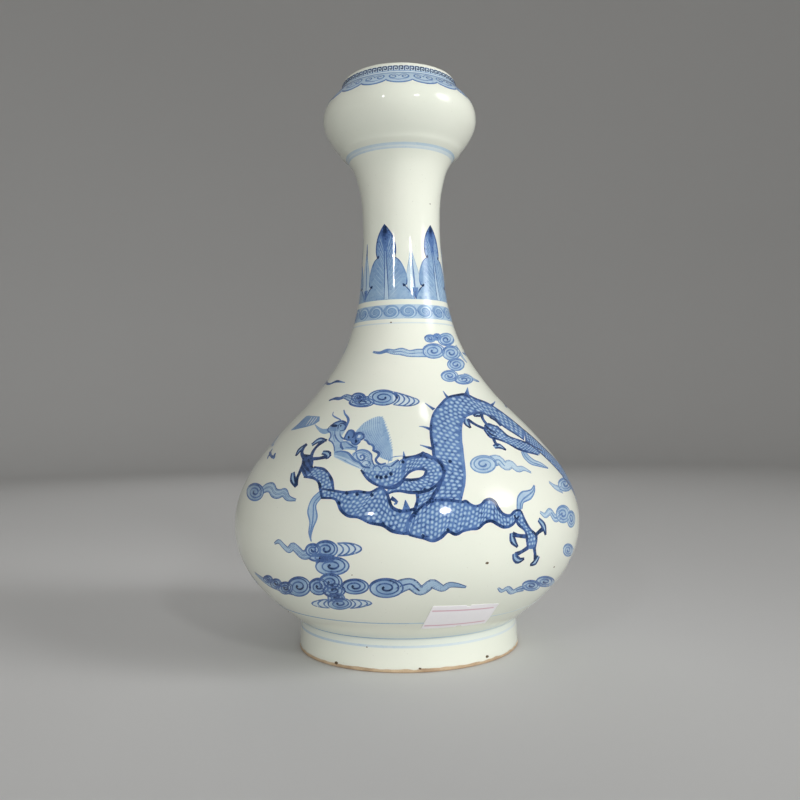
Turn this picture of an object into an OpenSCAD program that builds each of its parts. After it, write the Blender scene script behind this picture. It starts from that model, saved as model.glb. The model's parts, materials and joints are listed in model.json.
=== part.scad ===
// Garlic-mouth bottle vase in glazed porcelain: a pear-shaped belly on a foot ring, a long neck
// and a bulbous head with a short upright lip. The clay sections are thrown one by one, turned,
// and luted together with slip, then coated with glaze outside, inside and under the base.
// Z is up, the foot stands on z = 0, and the painted front faces -Y.

/* [Foot ring] */
// Outside diameter of the foot where it stands
foot_rest_d = 94.6; // [84:0.2:115]
// Outside diameter of the foot where the belly springs from it
foot_top_d = 92.8; // [78:0.2:112]
// Height of the foot ring
foot_h = 12.5; // [8:0.1:18]
// Thickness of the foot ring
foot_wall = 6.4; // [4:0.1:10]
// Height of the bare clay left along the rest
bare_h = 1.2; // [0.8:0.1:2]
// Bevel turned on both edges of the rest
rest_bevel = 0.7; // [0.3:0.1:0.8]

/* [Lower belly] */
// Rise from the foot to the flank
flank_rise = 17.5; // [12:0.5:24]
// Diameter at the flank
flank_d = 131.6; // [110:0.2:160]
// Rise from the flank to the widest ring
belly_rise = 23; // [16:0.5:32]
// Diameter at the widest ring
belly_d = 148.2; // [120:0.2:180]
// Height of the floor inside above the top of the foot
floor_rise = 5; // [4:0.1:8]
// Depth by which the turned base sits down inside the foot ring
register_depth = 2.5; // [1.5:0.1:4]
// Width and height of the rounded corner round the floor
floor_corner = 7; // [4:0.5:9]

/* [Upper belly] */
// Rise from the widest ring to the crown
crown_rise = 21; // [14:0.5:28]
// Diameter at the crown
crown_d = 136; // [110:0.2:165]
// Rise from the crown to the slope
slope_rise = 16; // [10:0.5:24]
// Diameter at the slope
slope_d = 111.6; // [92:0.2:135]
// Rise from the slope to the fall
fall_rise = 18; // [12:0.5:26]
// Diameter at the fall
fall_d = 77.4; // [64:0.2:94]
// Rise from the fall to the shoulder seam
shoulder_rise = 18; // [12:0.5:26]
// Diameter at the shoulder seam
shoulder_d = 53.2; // [44:0.2:66]

/* [Neck] */
// Rise from the shoulder seam to the root of the neck
root_rise = 20; // [14:0.5:28]
// Diameter at the root of the neck
root_d = 39.8; // [34:0.2:50]
// Rise from the root to the middle of the neck
middle_rise = 17; // [12:0.5:26]
// Diameter at the middle of the neck
middle_d = 35.8; // [30:0.2:46]
// Rise from the middle to the waist
waist_rise = 17; // [12:0.5:26]
// Diameter at the waist, the narrowest ring
waist_d = 33.8; // [28:0.2:44]
// Rise from the waist to the throat
throat_rise = 19; // [12:0.5:26]
// Diameter at the throat
throat_d = 37; // [31:0.2:46]
// Rise from the throat to the head seam
head_seam_rise = 8; // [6:0.5:12]
// Diameter at the head seam
head_seam_d = 42; // [35:0.2:52]

/* [Garlic head] */
// Rise from the head seam to the cup under the bulb
cup_rise = 6; // [4.5:0.5:9]
// Diameter at the cup
cup_d = 50; // [42:0.2:60]
// Rise from the cup to the swell
swell_rise = 5; // [4:0.5:8]
// Diameter at the swell
swell_d = 59; // [50:0.2:71]
// Rise from the swell to the widest ring of the bulb
bulb_rise = 8.5; // [6:0.5:13]
// Diameter at the widest ring of the bulb
bulb_d = 66.8; // [58:0.2:80]
// Rise from the widest ring to the brow of the bulb
brow_rise = 7.5; // [5:0.5:11]
// Diameter at the brow
brow_d = 63.2; // [56:0.2:75]
// Rise from the brow to the foot of the lip
lip_foot_rise = 6.3; // [5:0.1:9]
// Height of the upright lip
lip_h = 4.7; // [3.5:0.1:8]
// Diameter of the mouth
mouth_d = 43; // [36:0.2:52]
// Thickness of the lip
lip_wall = 3.4; // [2.4:0.1:4.5]
// Depth of the straight mouth below the foot of the lip
mouth_drop = 1.6; // [0.8:0.1:2.4]

/* [Walls and joints] */
// Wall of the belly where it springs from the foot
spring_wall = 5.4; // [4:0.1:7]
// Wall of the belly at its widest ring
belly_wall = 4.6; // [3.6:0.1:6]
// Wall at the shoulder seam
shoulder_wall = 4.2; // [3.2:0.1:5.5]
// Wall at the waist of the neck
neck_wall = 3.6; // [2.8:0.1:4.6]
// Wall of the bulb
head_wall = 3.4; // [2.6:0.1:4.4]
// Thickness of the slip in each luted joint
slip_t = 0.8; // [0.4:0.1:1.2]
// Thickness of the glaze
glaze_t = 0.4; // [0.2:0.05:0.6]

/* [Paper label] */
// Width of the label
label_w = 26.4; // [16:0.2:36]
// Height of its lower edge above the top of the foot
label_gap = 6.4; // [3:0.1:12]
// Difference in height between its lower and upper edges
label_rise = 9.6; // [6:0.1:14]
// Turn round the vase from the front to its middle
label_turn = 18.4; // [-180:0.2:180]
// Lean of its edges from level
label_lean = 2; // [-10:0.5:10]
// Thickness of the paper
label_t = 0.15; // [0.1:0.05:0.3]

/* [Hidden] */
$fn = 96;

// Longest stretch of height between two points of a turned profile
profile_step = 2;
// Points round each curve of the lip and of the floor's corner
arc_points = 5;
// Half of the height over which the lean of the outside is measured
lean_step = 0.05;

porcelain = [0.90, 0.88, 0.83];
slip_clay = [0.84, 0.81, 0.75];
glaze_white = [0.86, 0.90, 0.88];
paper_white = [0.96, 0.95, 0.96];

// Heights of the rings that shape the outside
flank_z = foot_h + flank_rise;
belly_z = flank_z + belly_rise;
crown_z = belly_z + crown_rise;
slope_z = crown_z + slope_rise;
fall_z = slope_z + fall_rise;
shoulder_z = fall_z + shoulder_rise;
root_z = shoulder_z + root_rise;
middle_z = root_z + middle_rise;
waist_z = middle_z + waist_rise;
throat_z = waist_z + throat_rise;
head_seam_z = throat_z + head_seam_rise;
cup_z = head_seam_z + cup_rise;
swell_z = cup_z + swell_rise;
bulb_z = swell_z + bulb_rise;
brow_z = bulb_z + brow_rise;
lip_foot_z = brow_z + lip_foot_rise;
vase_h = lip_foot_z + lip_h;

// The lip: its radii, the half round along its top, and the straight mouth inside it
mouth_r = mouth_d / 2;
lip_r = mouth_r + lip_wall;
lip_round = lip_wall / 2;
lip_crest_r = mouth_r + lip_round;
lip_round_z = vase_h - lip_round;
mouth_low_z = lip_foot_z - mouth_drop;

// The foot: its radii as glazed, the clay behind the glaze, and the turned base inside it
foot_rest_r = foot_rest_d / 2;
foot_top_r = foot_top_d / 2;
foot_bore_r = foot_rest_r - foot_wall;
foot_clay_bore_r = foot_bore_r + glaze_t;
register_r = foot_clay_bore_r - slip_t;
base_z = foot_h - register_depth;
floor_z = foot_h + floor_rise;
corner_z = floor_z + floor_corner;

// Radius and height of each ring that the outside passes through, from the foot to the lip
outside = [
    [foot_top_r, foot_h], [flank_d / 2, flank_z], [belly_d / 2, belly_z], [crown_d / 2, crown_z],
    [slope_d / 2, slope_z], [fall_d / 2, fall_z], [shoulder_d / 2, shoulder_z], [root_d / 2, root_z],
    [middle_d / 2, middle_z], [waist_d / 2, waist_z], [throat_d / 2, throat_z],
    [head_seam_d / 2, head_seam_z], [cup_d / 2, cup_z], [swell_d / 2, swell_z], [bulb_d / 2, bulb_z],
    [brow_d / 2, brow_z], [lip_r, lip_foot_z]
];
// Wall and height of each ring where the wall is set
walls = [
    [spring_wall, foot_h], [belly_wall, belly_z], [shoulder_wall, shoulder_z], [neck_wall, waist_z],
    [head_wall, bulb_z], [head_wall, lip_foot_z]
];

// Lean of the straight line between stations i and i + 1 of a list of [value, height]
function lean(p, i) = (p[i + 1][0] - p[i][0]) / (p[i + 1][1] - p[i][1]);
// Lean of the smooth curve at station i: weighted from both sides, and carried on at the two ends
function station_lean(p, i) =
    i == 0 ? 2 * lean(p, 0) - station_lean(p, 1)
    : i == len(p) - 1 ? 2 * lean(p, i - 1) - station_lean(p, i - 1)
    : let (below = p[i][1] - p[i - 1][1], above = p[i + 1][1] - p[i][1])
        (lean(p, i - 1) * above + lean(p, i) * below) / (below + above);
// The stretch of the list that holds height z
function stretch(p, z) = max([0, for (i = [0 : len(p) - 2]) if (p[i][1] <= z) i]);
// Value of the smooth curve through the stations at height z
function curve(p, z) =
    let (
        i = stretch(p, z),
        h = p[i + 1][1] - p[i][1],
        t = (z - p[i][1]) / h,
        from = station_lean(p, i) * h,
        to = station_lean(p, i + 1) * h
    )
    (2 * t^3 - 3 * t^2 + 1) * p[i][0] + (t^3 - 2 * t^2 + t) * from
    + (3 * t^2 - 2 * t^3) * p[i + 1][0] + (t^3 - t^2) * to;

// Outside radius of the glazed vase at height z, and how much a layer widens there as the wall leans
function foot_r(z) = foot_rest_r + (foot_top_r - foot_rest_r) * z / foot_h;
function outer_r(z) = z < foot_h ? foot_r(z) : z >= lip_foot_z ? lip_r : curve(outside, z);
function spread(z) =
    z <= foot_h || z >= lip_foot_z ? 1
    : sqrt(1 + ((outer_r(z + lean_step) - outer_r(z - lean_step)) / (2 * lean_step))^2);
// Inside radius of the glazed vase at height z, no narrower than the mouth above the bulb's widest ring
function inner_r(z) =
    let (behind_wall = outer_r(z) - curve(walls, z) * spread(z))
    z >= mouth_low_z ? mouth_r : z > bulb_z ? max(mouth_r, behind_wall) : behind_wall;

// Heights from one level to another in even steps
function steps(from, to) =
    let (n = ceil((to - from) / profile_step))
    [for (i = [0 : n]) from + (to - from) * i / n];
// Points up the outside, under a coat of the given depth
function outer_path(heights, coat) = [for (z = heights) [outer_r(z) - coat * spread(z), z]];
// Points up the inside, behind a coat of the given depth
function inner_path(heights, coat) =
    [for (z = heights) [inner_r(z) + coat * (z < mouth_low_z ? spread(z) : 1), z]];
// Points over the lip from one angle to another, under a coat of the given depth
function lip_path(from, to, coat) = [for (i = [0 : arc_points])
    let (a = from + (to - from) * i / arc_points)
    [lip_crest_r + (lip_round - coat) * cos(a), lip_round_z + (lip_round - coat) * sin(a)]];
// Points across the floor inside and up its rounded corner, which runs on into the leaning wall
function floor_path(coat) =
    let (
        wall = inner_path([corner_z, corner_z + profile_step], coat),
        out = wall[0][0] - (corner_z - floor_z) * lean(wall, 0),
        low = floor_z - coat,
        from = [out - floor_corner, low],
        bend = [out, low]
    )
    [[0, low], for (i = [0 : arc_points])
        let (t = i / arc_points)
        from * (1 - t)^2 + bend * 2 * t * (1 - t) + wall[0] * t^2];
function reverse(p) = [for (i = [len(p) - 1 : -1 : 0]) p[i]];

// The heights of each section between its luted joints, and those of each joint
half_slip = slip_t / 2;
lower_heights = steps(foot_h + half_slip, belly_z - half_slip);
upper_heights = steps(belly_z + half_slip, shoulder_z - half_slip);
neck_heights = steps(shoulder_z + half_slip, head_seam_z - half_slip);
head_heights = steps(head_seam_z + half_slip, lip_foot_z);
lower_inside = steps(corner_z, belly_z - half_slip);
head_inside = steps(head_seam_z + half_slip, mouth_low_z);
foot_joint = [foot_h - half_slip, foot_h, foot_h + half_slip];
glaze_heights = concat([bare_h], foot_joint, [for (i = [1 : len(lower_heights) - 1]) lower_heights[i]],
    upper_heights, neck_heights, head_heights);
inside_heights = concat([for (i = [1 : len(lower_inside) - 1]) lower_inside[i]],
    upper_heights, neck_heights, head_inside);

module foot_ring() {
    color(porcelain)
        rotate_extrude()
            polygon([
                [foot_bore_r + rest_bevel, 0], [foot_rest_r - rest_bevel, 0],
                [foot_r(rest_bevel), rest_bevel], [foot_r(bare_h), bare_h],
                [foot_r(bare_h) - glaze_t, bare_h], [foot_r(foot_joint[0]) - glaze_t, foot_joint[0]],
                [foot_clay_bore_r, foot_joint[0]],
                [foot_clay_bore_r, bare_h], [foot_bore_r, bare_h], [foot_bore_r, rest_bevel]
            ]);
}

// Slip between the foot ring and the belly: a flat ring with a sleeve round the turned base
module foot_slip() {
    color(slip_clay)
        rotate_extrude()
            polygon(concat(
                [[register_r, base_z], [foot_clay_bore_r, base_z], [foot_clay_bore_r, foot_joint[0]]],
                outer_path(foot_joint, glaze_t),
                [[register_r, foot_joint[2]]]
            ));
}

module lower_belly() {
    color(porcelain)
        rotate_extrude()
            polygon(concat(
                [[0, base_z], [register_r, base_z], [register_r, foot_joint[2]]],
                outer_path(lower_heights, glaze_t),
                reverse(inner_path([for (i = [1 : len(lower_inside) - 1]) lower_inside[i]], glaze_t)),
                reverse(floor_path(glaze_t))
            ));
}

module upper_belly() {
    color(porcelain)
        rotate_extrude()
            polygon(concat(
                outer_path(upper_heights, glaze_t), reverse(inner_path(upper_heights, glaze_t))
            ));
}

module neck() {
    color(porcelain)
        rotate_extrude()
            polygon(concat(
                outer_path(neck_heights, glaze_t), reverse(inner_path(neck_heights, glaze_t))
            ));
}

module garlic_head() {
    color(porcelain)
        rotate_extrude()
            polygon(concat(
                outer_path(head_heights, glaze_t),
                lip_path(0, 180, glaze_t),
                reverse(inner_path(head_inside, glaze_t))
            ));
}

// Flat ring of slip in a butt joint at height z
module butt_slip(z) {
    heights = [z - half_slip, z + half_slip];
    color(slip_clay)
        rotate_extrude()
            polygon(concat(outer_path(heights, glaze_t), reverse(inner_path(heights, glaze_t))));
}

module belly_slip() {
    butt_slip(belly_z);
}

module shoulder_slip() {
    butt_slip(shoulder_z);
}

module head_slip() {
    butt_slip(head_seam_z);
}

// Glaze over the outside, from the bare clay of the rest to the crest of the lip
module outer_glaze() {
    color(glaze_white)
        rotate_extrude()
            polygon(concat(
                outer_path(glaze_heights, 0), lip_path(0, 90, 0),
                reverse(lip_path(0, 90, glaze_t)), reverse(outer_path(glaze_heights, glaze_t))
            ));
}

// Glaze over the inside, from the crest of the lip to the floor
module inner_glaze() {
    color(glaze_white)
        rotate_extrude()
            polygon(concat(
                floor_path(glaze_t), inner_path(inside_heights, glaze_t),
                reverse(lip_path(90, 180, glaze_t)), lip_path(90, 180, 0),
                reverse(inner_path(inside_heights, 0)), reverse(floor_path(0))
            ));
}

// Glaze under the base and down the inside of the foot ring to the bare clay
module base_glaze() {
    color(glaze_white)
        rotate_extrude()
            polygon([
                [0, base_z - glaze_t], [foot_bore_r, base_z - glaze_t], [foot_bore_r, bare_h],
                [foot_clay_bore_r, bare_h], [foot_clay_bore_r, base_z], [0, base_z]
            ]);
}

// Paper label on the glaze, cut to a rectangle from a skin of paper round the lower belly
module paper_label() {
    low = foot_h + label_gap;
    high = low + label_rise;
    margin = 2 * profile_step;
    heights = [for (z = glaze_heights) if (z > low - margin && z < high + margin) z];
    color(paper_white)
        intersection() {
            rotate_extrude()
                polygon(concat(outer_path(heights, -label_t), reverse(outer_path(heights, 0))));
            rotate([0, 0, label_turn])
                translate([0, 0, (low + high) / 2])
                    rotate([0, label_lean, 0])
                        translate([-label_w / 2, -belly_d, -label_rise / 2])
                            cube([label_w, belly_d, label_rise]);
        }
}

foot_ring();
foot_slip();
lower_belly();
belly_slip();
upper_belly();
shoulder_slip();
neck();
head_slip();
garlic_head();
outer_glaze();
inner_glaze();
base_glaze();
paper_label();
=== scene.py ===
import json
import math

import bmesh
import bpy
import numpy as np
from mathutils import Matrix, Vector, noise


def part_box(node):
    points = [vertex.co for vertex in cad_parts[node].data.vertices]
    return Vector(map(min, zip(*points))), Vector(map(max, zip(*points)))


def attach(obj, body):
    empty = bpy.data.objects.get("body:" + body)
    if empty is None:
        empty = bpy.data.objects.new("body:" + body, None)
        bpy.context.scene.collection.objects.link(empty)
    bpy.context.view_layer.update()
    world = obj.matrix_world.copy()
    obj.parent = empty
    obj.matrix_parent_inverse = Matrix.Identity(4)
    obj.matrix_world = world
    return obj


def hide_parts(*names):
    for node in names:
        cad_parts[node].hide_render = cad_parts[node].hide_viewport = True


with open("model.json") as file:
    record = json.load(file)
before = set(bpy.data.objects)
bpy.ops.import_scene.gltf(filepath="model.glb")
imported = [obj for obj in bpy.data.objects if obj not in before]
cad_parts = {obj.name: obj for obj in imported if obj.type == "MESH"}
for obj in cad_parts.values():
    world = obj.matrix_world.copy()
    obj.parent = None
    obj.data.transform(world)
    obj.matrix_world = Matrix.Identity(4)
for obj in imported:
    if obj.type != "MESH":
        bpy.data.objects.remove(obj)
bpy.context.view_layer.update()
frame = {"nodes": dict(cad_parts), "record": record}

# Camera
# It stands 37 cm in front of the vase, below its middle, and looks up by about a degree. It is rolled by
# another degree, so that the vase leans a touch to the left. The painting in front is placed through it.
PHOTO = 800.0
FOCAL = 840.0
SENSOR = 36.0
CLIP_START = 0.01
EYE = Vector((-0.0020, -0.3696, 0.0982))
LOOK_UP = math.radians(1.09)
ROLL = math.radians(1.03)

facing = Matrix.Rotation(LOOK_UP + math.pi / 2, 3, "X") @ Matrix.Rotation(-ROLL, 3, "Z")
camera = bpy.data.objects.new("camera", bpy.data.cameras.new("camera"))
camera.data.sensor_fit = "HORIZONTAL"
camera.data.sensor_width = SENSOR
camera.data.lens = SENSOR * FOCAL / PHOTO
camera.data.clip_start = CLIP_START
camera.matrix_world = Matrix.Translation(EYE) @ facing.to_4x4()
bpy.context.scene.collection.objects.link(camera)
bpy.context.scene.camera = camera


# Clay sections and slip
# The vase is thrown in sections of white porcelain clay and luted together with slip, which is the same
# clay let down with water. Both are matt and faintly speckled, and the glaze covers them all over.
CLAY_NODES = ("lower_belly", "upper_belly", "neck", "garlic_head")
CLAY_PALE, CLAY_DEEP = (0.80, 0.76, 0.69), (0.71, 0.66, 0.57)
CLAY_GRAIN = 500.0
SLIP_NODES = ("foot_slip", "belly_slip", "shoulder_slip", "head_slip")
SLIP_PALE, SLIP_DEEP = (0.71, 0.67, 0.59), (0.62, 0.57, 0.48)
SLIP_GRAIN = 900.0
CLAY_ROUGHNESS = 0.85
GRIT_FINER = 6
GRIT_STRENGTH, GRIT_DEPTH = 0.25, 0.0002


class Shade:
    """A shader socket: sums with it add Math nodes, and node() adds any other node to its material."""

    def __init__(self, tree, socket=None):
        self.tree = tree
        self.socket = socket

    def node(self, kind, settings=None, sockets=None, out=0):
        made = self.tree.nodes.new("ShaderNode" + kind)
        for name, value in (settings or {}).items():
            if name != "stops":
                setattr(made, name, value)
                continue
            elements = made.color_ramp.elements
            while len(elements) < len(value):
                elements.new(1.0)
            for element, (place, colour) in zip(elements, value):
                element.position = place
                element.color = (*colour, 1.0)
        for name, value in (sockets or {}).items():
            if isinstance(value, Shade):
                self.tree.links.new(value.socket, made.inputs[name])
            else:
                made.inputs[name].default_value = value
        return Shade(self.tree, made.outputs[out] if made.outputs else None)

    def sum(self, operation, first, second):
        return self.node("Math", {"operation": operation}, {0: first, 1: second})

    def __add__(self, other):
        return self.sum("ADD", self, other)

    def __radd__(self, other):
        return self.sum("ADD", other, self)

    def __sub__(self, other):
        return self.sum("SUBTRACT", self, other)

    def __rsub__(self, other):
        return self.sum("SUBTRACT", other, self)

    def __mul__(self, other):
        return self.sum("MULTIPLY", self, other)

    def __rmul__(self, other):
        return self.sum("MULTIPLY", other, self)

    def __abs__(self):
        return self.node("Math", {"operation": "ABSOLUTE"}, {0: self})

    def clip(self):
        return self.node("Clamp", None, {0: self})

    def attribute(self, name):
        return self.node("Attribute", {"attribute_name": name}, out=2)

    def mottle(self, scale, detail=3.0):
        """Cloudy patches from 0 to 1, about 1 / scale metres across."""
        where = self.node("TexCoord", out=3)
        return self.node("TexNoise", None, {"Vector": where, "Scale": scale, "Detail": detail})

    def patches(self, scale, contrast, floor, detail=3.0):
        """Patches of 1 on 0 with soft edges."""
        return (self.mottle(scale, detail) * contrast - floor).clip()

    def height(self):
        where = self.node("TexCoord", out=3)
        return self.node("SeparateXYZ", None, {0: where}, out=2)

    def mix(self, first, second):
        """The first colour where this socket is 0, and the second where it is 1."""
        first, second = ((*c, 1.0) if isinstance(c, tuple) else c for c in (first, second))
        return self.node("Mix", {"data_type": "RGBA"}, {0: self, 6: first, 7: second}, out=2)

    def bump(self, strength, depth):
        """A normal that this socket raises by up to a depth in metres."""
        return self.node("Bump", None, {"Strength": strength, "Distance": depth, "Height": self})


def material(name):
    """An empty material and the start of its nodes."""
    made = bpy.data.materials.new(name)
    made.use_nodes = True
    made.node_tree.nodes.clear()
    return made, Shade(made.node_tree)


def surface(shade, sockets):
    """Ends a material with its one shader."""
    shader = shade.node("BsdfPrincipled", None, sockets)
    shade.node("OutputMaterial", None, {"Surface": shader})


def fired_clay(name, pale, deep, grain):
    made, shade = material(name)
    colour = shade.mottle(grain).mix(pale, deep)
    grit = shade.mottle(grain * GRIT_FINER).bump(GRIT_STRENGTH, GRIT_DEPTH)
    surface(shade, {"Base Color": colour, "Roughness": CLAY_ROUGHNESS, "Normal": grit})
    return made


clay_finish = fired_clay("porcelain_clay", CLAY_PALE, CLAY_DEEP, CLAY_GRAIN)
slip_finish = fired_clay("slip_clay", SLIP_PALE, SLIP_DEEP, SLIP_GRAIN)
for names, finish in ((CLAY_NODES, clay_finish), (SLIP_NODES, slip_finish)):
    for name in names:
        materials = frame["nodes"][name].data.materials
        materials.clear()
        materials.append(finish)

# Outer glaze
# One glossy coat over the whole outside, over the lip and a little way into the mouth. It is white with a
# faint green, and it stops at an uneven edge above the rest of the foot. In the crease above the foot it is
# bluer and darker, partly where the glaze pools and partly painted shade.
GLAZE_T = 0.0004
FOOT_POOL = 0.0006
LIP_POOL = 0.0022
RING_STEP = 0.0012
CREASE_REACH = 0.0024
CREASE_STEP = 0.0002
BACK_ROWS = 3
TURN_STEPS = 256
LIP_POINTS = 12
LIP_DROP = 0.002
BROW_SHARE = 4
MOUTH_DEPTH = 0.003
EDGE_DROP, EDGE_THIN = 0.0001, 0.3
EDGE_WANDER, EDGE_WAVES, EDGE_RISE = 0.0005, 14.0, 0.4
EDGE_REACH = 0.003
PROFILE_STEPS = 4001
LEVEL_DIGITS = 6
SAME = 1e-5
MERGE = 1e-7
SHARP = math.radians(40)
GLAZE_WHITE = (0.755, 0.765, 0.675)
GLAZE_GREEN = (0.685, 0.72, 0.625)
GLAZE_POOLED_SHADED = (0.60, 0.67, 0.63)
PINHOLE_BROWN = (0.30, 0.27, 0.20)
CLOUDING = (22.0, 1.6, 0.35)
CREASE_SHADE_SHARP, CREASE_SHADE_SHARE = 260.0, 0.7
PINHOLES, PINHOLE_SHARE = (2600.0, 14.0, 11.6, 0.0), 0.5
GLOSS, GLOSS_RANGE, GLOSS_PATCHES = 0.05, 0.06, 260.0
RIPPLE, PEEL, PEEL_SHARE = 55.0, 700.0, 0.08
RIPPLE_STRENGTH, RIPPLE_DEPTH = 0.12, 0.0012
GLAZE_IOR = 1.5

foot_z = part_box("foot_ring")[1].z + GLAZE_T
bare_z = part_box("outer_glaze")[0].z
crest_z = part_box("outer_glaze")[1].z
mouth_r = frame["record"]["mounts"][1]["dims"]["r_mm"] / 1000
belly_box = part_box("belly_slip")
belly_z = (belly_box[0].z + belly_box[1].z) / 2
brow_z = belly_z * BROW_SHARE

rings = {}
for vertex in frame["nodes"]["outer_glaze"].data.vertices:
    level = round(vertex.co.z, LEVEL_DIGITS)
    rings[level] = max(rings.get(level, 0.0), math.hypot(vertex.co.x, vertex.co.y))
levels = np.array(sorted(rings))
radii = np.array([rings[level] for level in levels])
lip_r = radii[np.searchsorted(levels, crest_z - LIP_DROP) - 1]
lip_round = (lip_r - mouth_r) / 2
lip_round_z = crest_z - lip_round
lip_foot_z = min(level for level in levels if rings[level] <= lip_r + SAME and level > brow_z)


def hermite(knots, values, slopes, at):
    """The smooth curve through values at knots, carried on straight past both ends."""
    i = np.clip(np.searchsorted(knots, at, "right") - 1, 0, len(knots) - 2)
    span = knots[i + 1] - knots[i]
    t = (at - knots[i]) / span
    shape = (len(at),) + (1,) * (values.ndim - 1)
    s = np.clip(t, 0, 1).reshape(shape)
    past = ((t - np.clip(t, 0, 1)) * span).reshape(shape)
    span = span.reshape(shape)
    curve = (2 * s**3 - 3 * s**2 + 1) * values[i] + (s**3 - 2 * s**2 + s) * span * slopes[i]
    curve = curve + (3 * s**2 - 2 * s**3) * values[i + 1] + (s**3 - s**2) * span * slopes[i + 1]
    return curve + past * np.where(past < 0, slopes[i], slopes[i + 1])


def pooled(first, second, pool):
    """The larger of two radii, with glaze pooled in the crease where they cross."""
    return (first + second + np.sqrt((first - second) ** 2 + pool**2)) / 2


on_body = (levels > foot_z - SAME) & (levels < lip_foot_z + SAME)
body_z, body_r = levels[on_body], radii[on_body]
foot_rest_r = radii[0] + (radii[0] - body_r[0]) * bare_z / (foot_z - bare_z)
fine_z = np.linspace(0.0, lip_round_z, PROFILE_STEPS)
fine_r = hermite(body_z, body_r, np.gradient(body_r, body_z), fine_z)
foot_r = foot_rest_r + (body_r[0] - foot_rest_r) * fine_z / foot_z
fine_r = np.where(fine_z < belly_z, pooled(fine_r, foot_r, FOOT_POOL), fine_r)
fine_r = np.where(fine_z > brow_z, pooled(fine_r, lip_r, LIP_POOL), fine_r)
fine_lean = np.gradient(fine_r, fine_z)


def outside(z):
    return np.interp(z, fine_z, fine_r)


def on_glaze(spots, lift=0.0):
    """Places on the glaze, or over it, for an array of turns (0 in front, to the right) and heights."""
    spots = np.asarray(spots, float)
    turn, z = spots[..., 0], spots[..., 1]
    lean = np.interp(z, fine_z, fine_lean)
    out = 1 / np.sqrt(1 + lean**2)
    r = outside(z) + lift * out
    return np.stack([r * np.sin(turn), -r * np.cos(turn), z - lift * lean * out], -1)


def turned(profile, steps=TURN_STEPS):
    """A closed outline of radius and height, spun once round the axis."""
    bm = bmesh.new()
    verts = [bm.verts.new((r, 0.0, z)) for r, z in profile]
    edges = [bm.edges.new((a, b)) for a, b in zip(verts, verts[1:] + verts[:1])]
    bmesh.ops.spin(bm, geom=verts + edges, cent=(0, 0, 0), axis=(0, 0, 1), angle=2 * math.pi, steps=steps,
                   use_merge=True)
    bmesh.ops.remove_doubles(bm, verts=bm.verts[:], dist=MERGE)
    bmesh.ops.dissolve_degenerate(bm, edges=bm.edges[:], dist=MERGE / 10)
    bmesh.ops.recalc_face_normals(bm, faces=bm.faces[:])
    return bm


def piece(bm, name, finish, slot, *nodes):
    """Makes the object, gives it its finish, and hangs it on the vase in place of the nodes."""
    for face in bm.faces:
        face.smooth = True
    mesh = bpy.data.meshes.new(name)
    bm.to_mesh(mesh)
    bm.free()
    mesh.set_sharp_from_angle(angle=SHARP)
    mesh.materials.append(finish)
    made = bpy.data.objects.new(name, mesh)
    bpy.context.scene.collection.objects.link(made)
    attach(made, "root")
    if nodes:
        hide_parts(*nodes)


def glossy(shade, colour):
    """Glaze over a colour: hard gloss, with a faint ripple and fine peel in its reflections."""
    ripple = shade.mottle(RIPPLE, 1.0) + PEEL_SHARE * shade.mottle(PEEL, 2.0)
    waves = ripple.bump(RIPPLE_STRENGTH, RIPPLE_DEPTH)
    rough = GLOSS + GLOSS_RANGE * shade.mottle(GLOSS_PATCHES)
    surface(shade, {"Base Color": colour, "Roughness": rough, "Normal": waves, "IOR": GLAZE_IOR})


def white_glaze(name):
    made, shade = material(name)
    colour = shade.patches(*CLOUDING).mix(GLAZE_WHITE, GLAZE_GREEN)
    # Bluer and darker in the crease above the foot: partly pooled glaze, partly painted shade.
    crease = (1 - abs((shade.height() - foot_z) * CREASE_SHADE_SHARP)).clip()
    colour = (crease * CREASE_SHADE_SHARE).mix(colour, GLAZE_POOLED_SHADED)
    pinholes = shade.patches(*PINHOLES)
    glossy(shade, (pinholes * PINHOLE_SHARE).mix(colour, PINHOLE_BROWN))
    return made


climb = np.arange(bare_z + GLAZE_T, lip_round_z, RING_STEP)
for crease in (foot_z, lip_foot_z):
    fine = np.arange(crease - CREASE_REACH, min(crease + CREASE_REACH, lip_round_z), CREASE_STEP)
    climb = np.concatenate([climb[np.abs(climb - crease) > CREASE_REACH + CREASE_STEP], fine])
climb.sort()
over_lip = np.linspace(0, math.pi, LIP_POINTS)
front = [(radii[0] - GLAZE_T, bare_z - EDGE_DROP), (radii[0] - GLAZE_T * EDGE_THIN, bare_z)]
front += [(float(outside(z)), z) for z in climb]
lip_middle_r = (lip_r + mouth_r) / 2
front += [(lip_middle_r + lip_round * math.cos(a), lip_round_z + lip_round * math.sin(a)) for a in over_lip]
front.append((mouth_r, lip_round_z - MOUTH_DEPTH))
back = [(mouth_r + GLAZE_T, lip_round_z - MOUTH_DEPTH), (mouth_r + GLAZE_T, lip_round_z)]
back += [(float(outside(z)) - GLAZE_T, z) for z in climb[-2:0:-BACK_ROWS]]
bm = turned(front + back)
for vertex in bm.verts:
    if vertex.co.z < bare_z + EDGE_REACH:
        wander = noise.noise(vertex.co.xy.normalized().to_3d() * EDGE_WAVES) + EDGE_RISE
        vertex.co.z += EDGE_WANDER * wander * (bare_z + EDGE_REACH - vertex.co.z) / EDGE_REACH
piece(bm, "glaze_skin", white_glaze("white_glaze"), "white_glaze", "outer_glaze")

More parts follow.
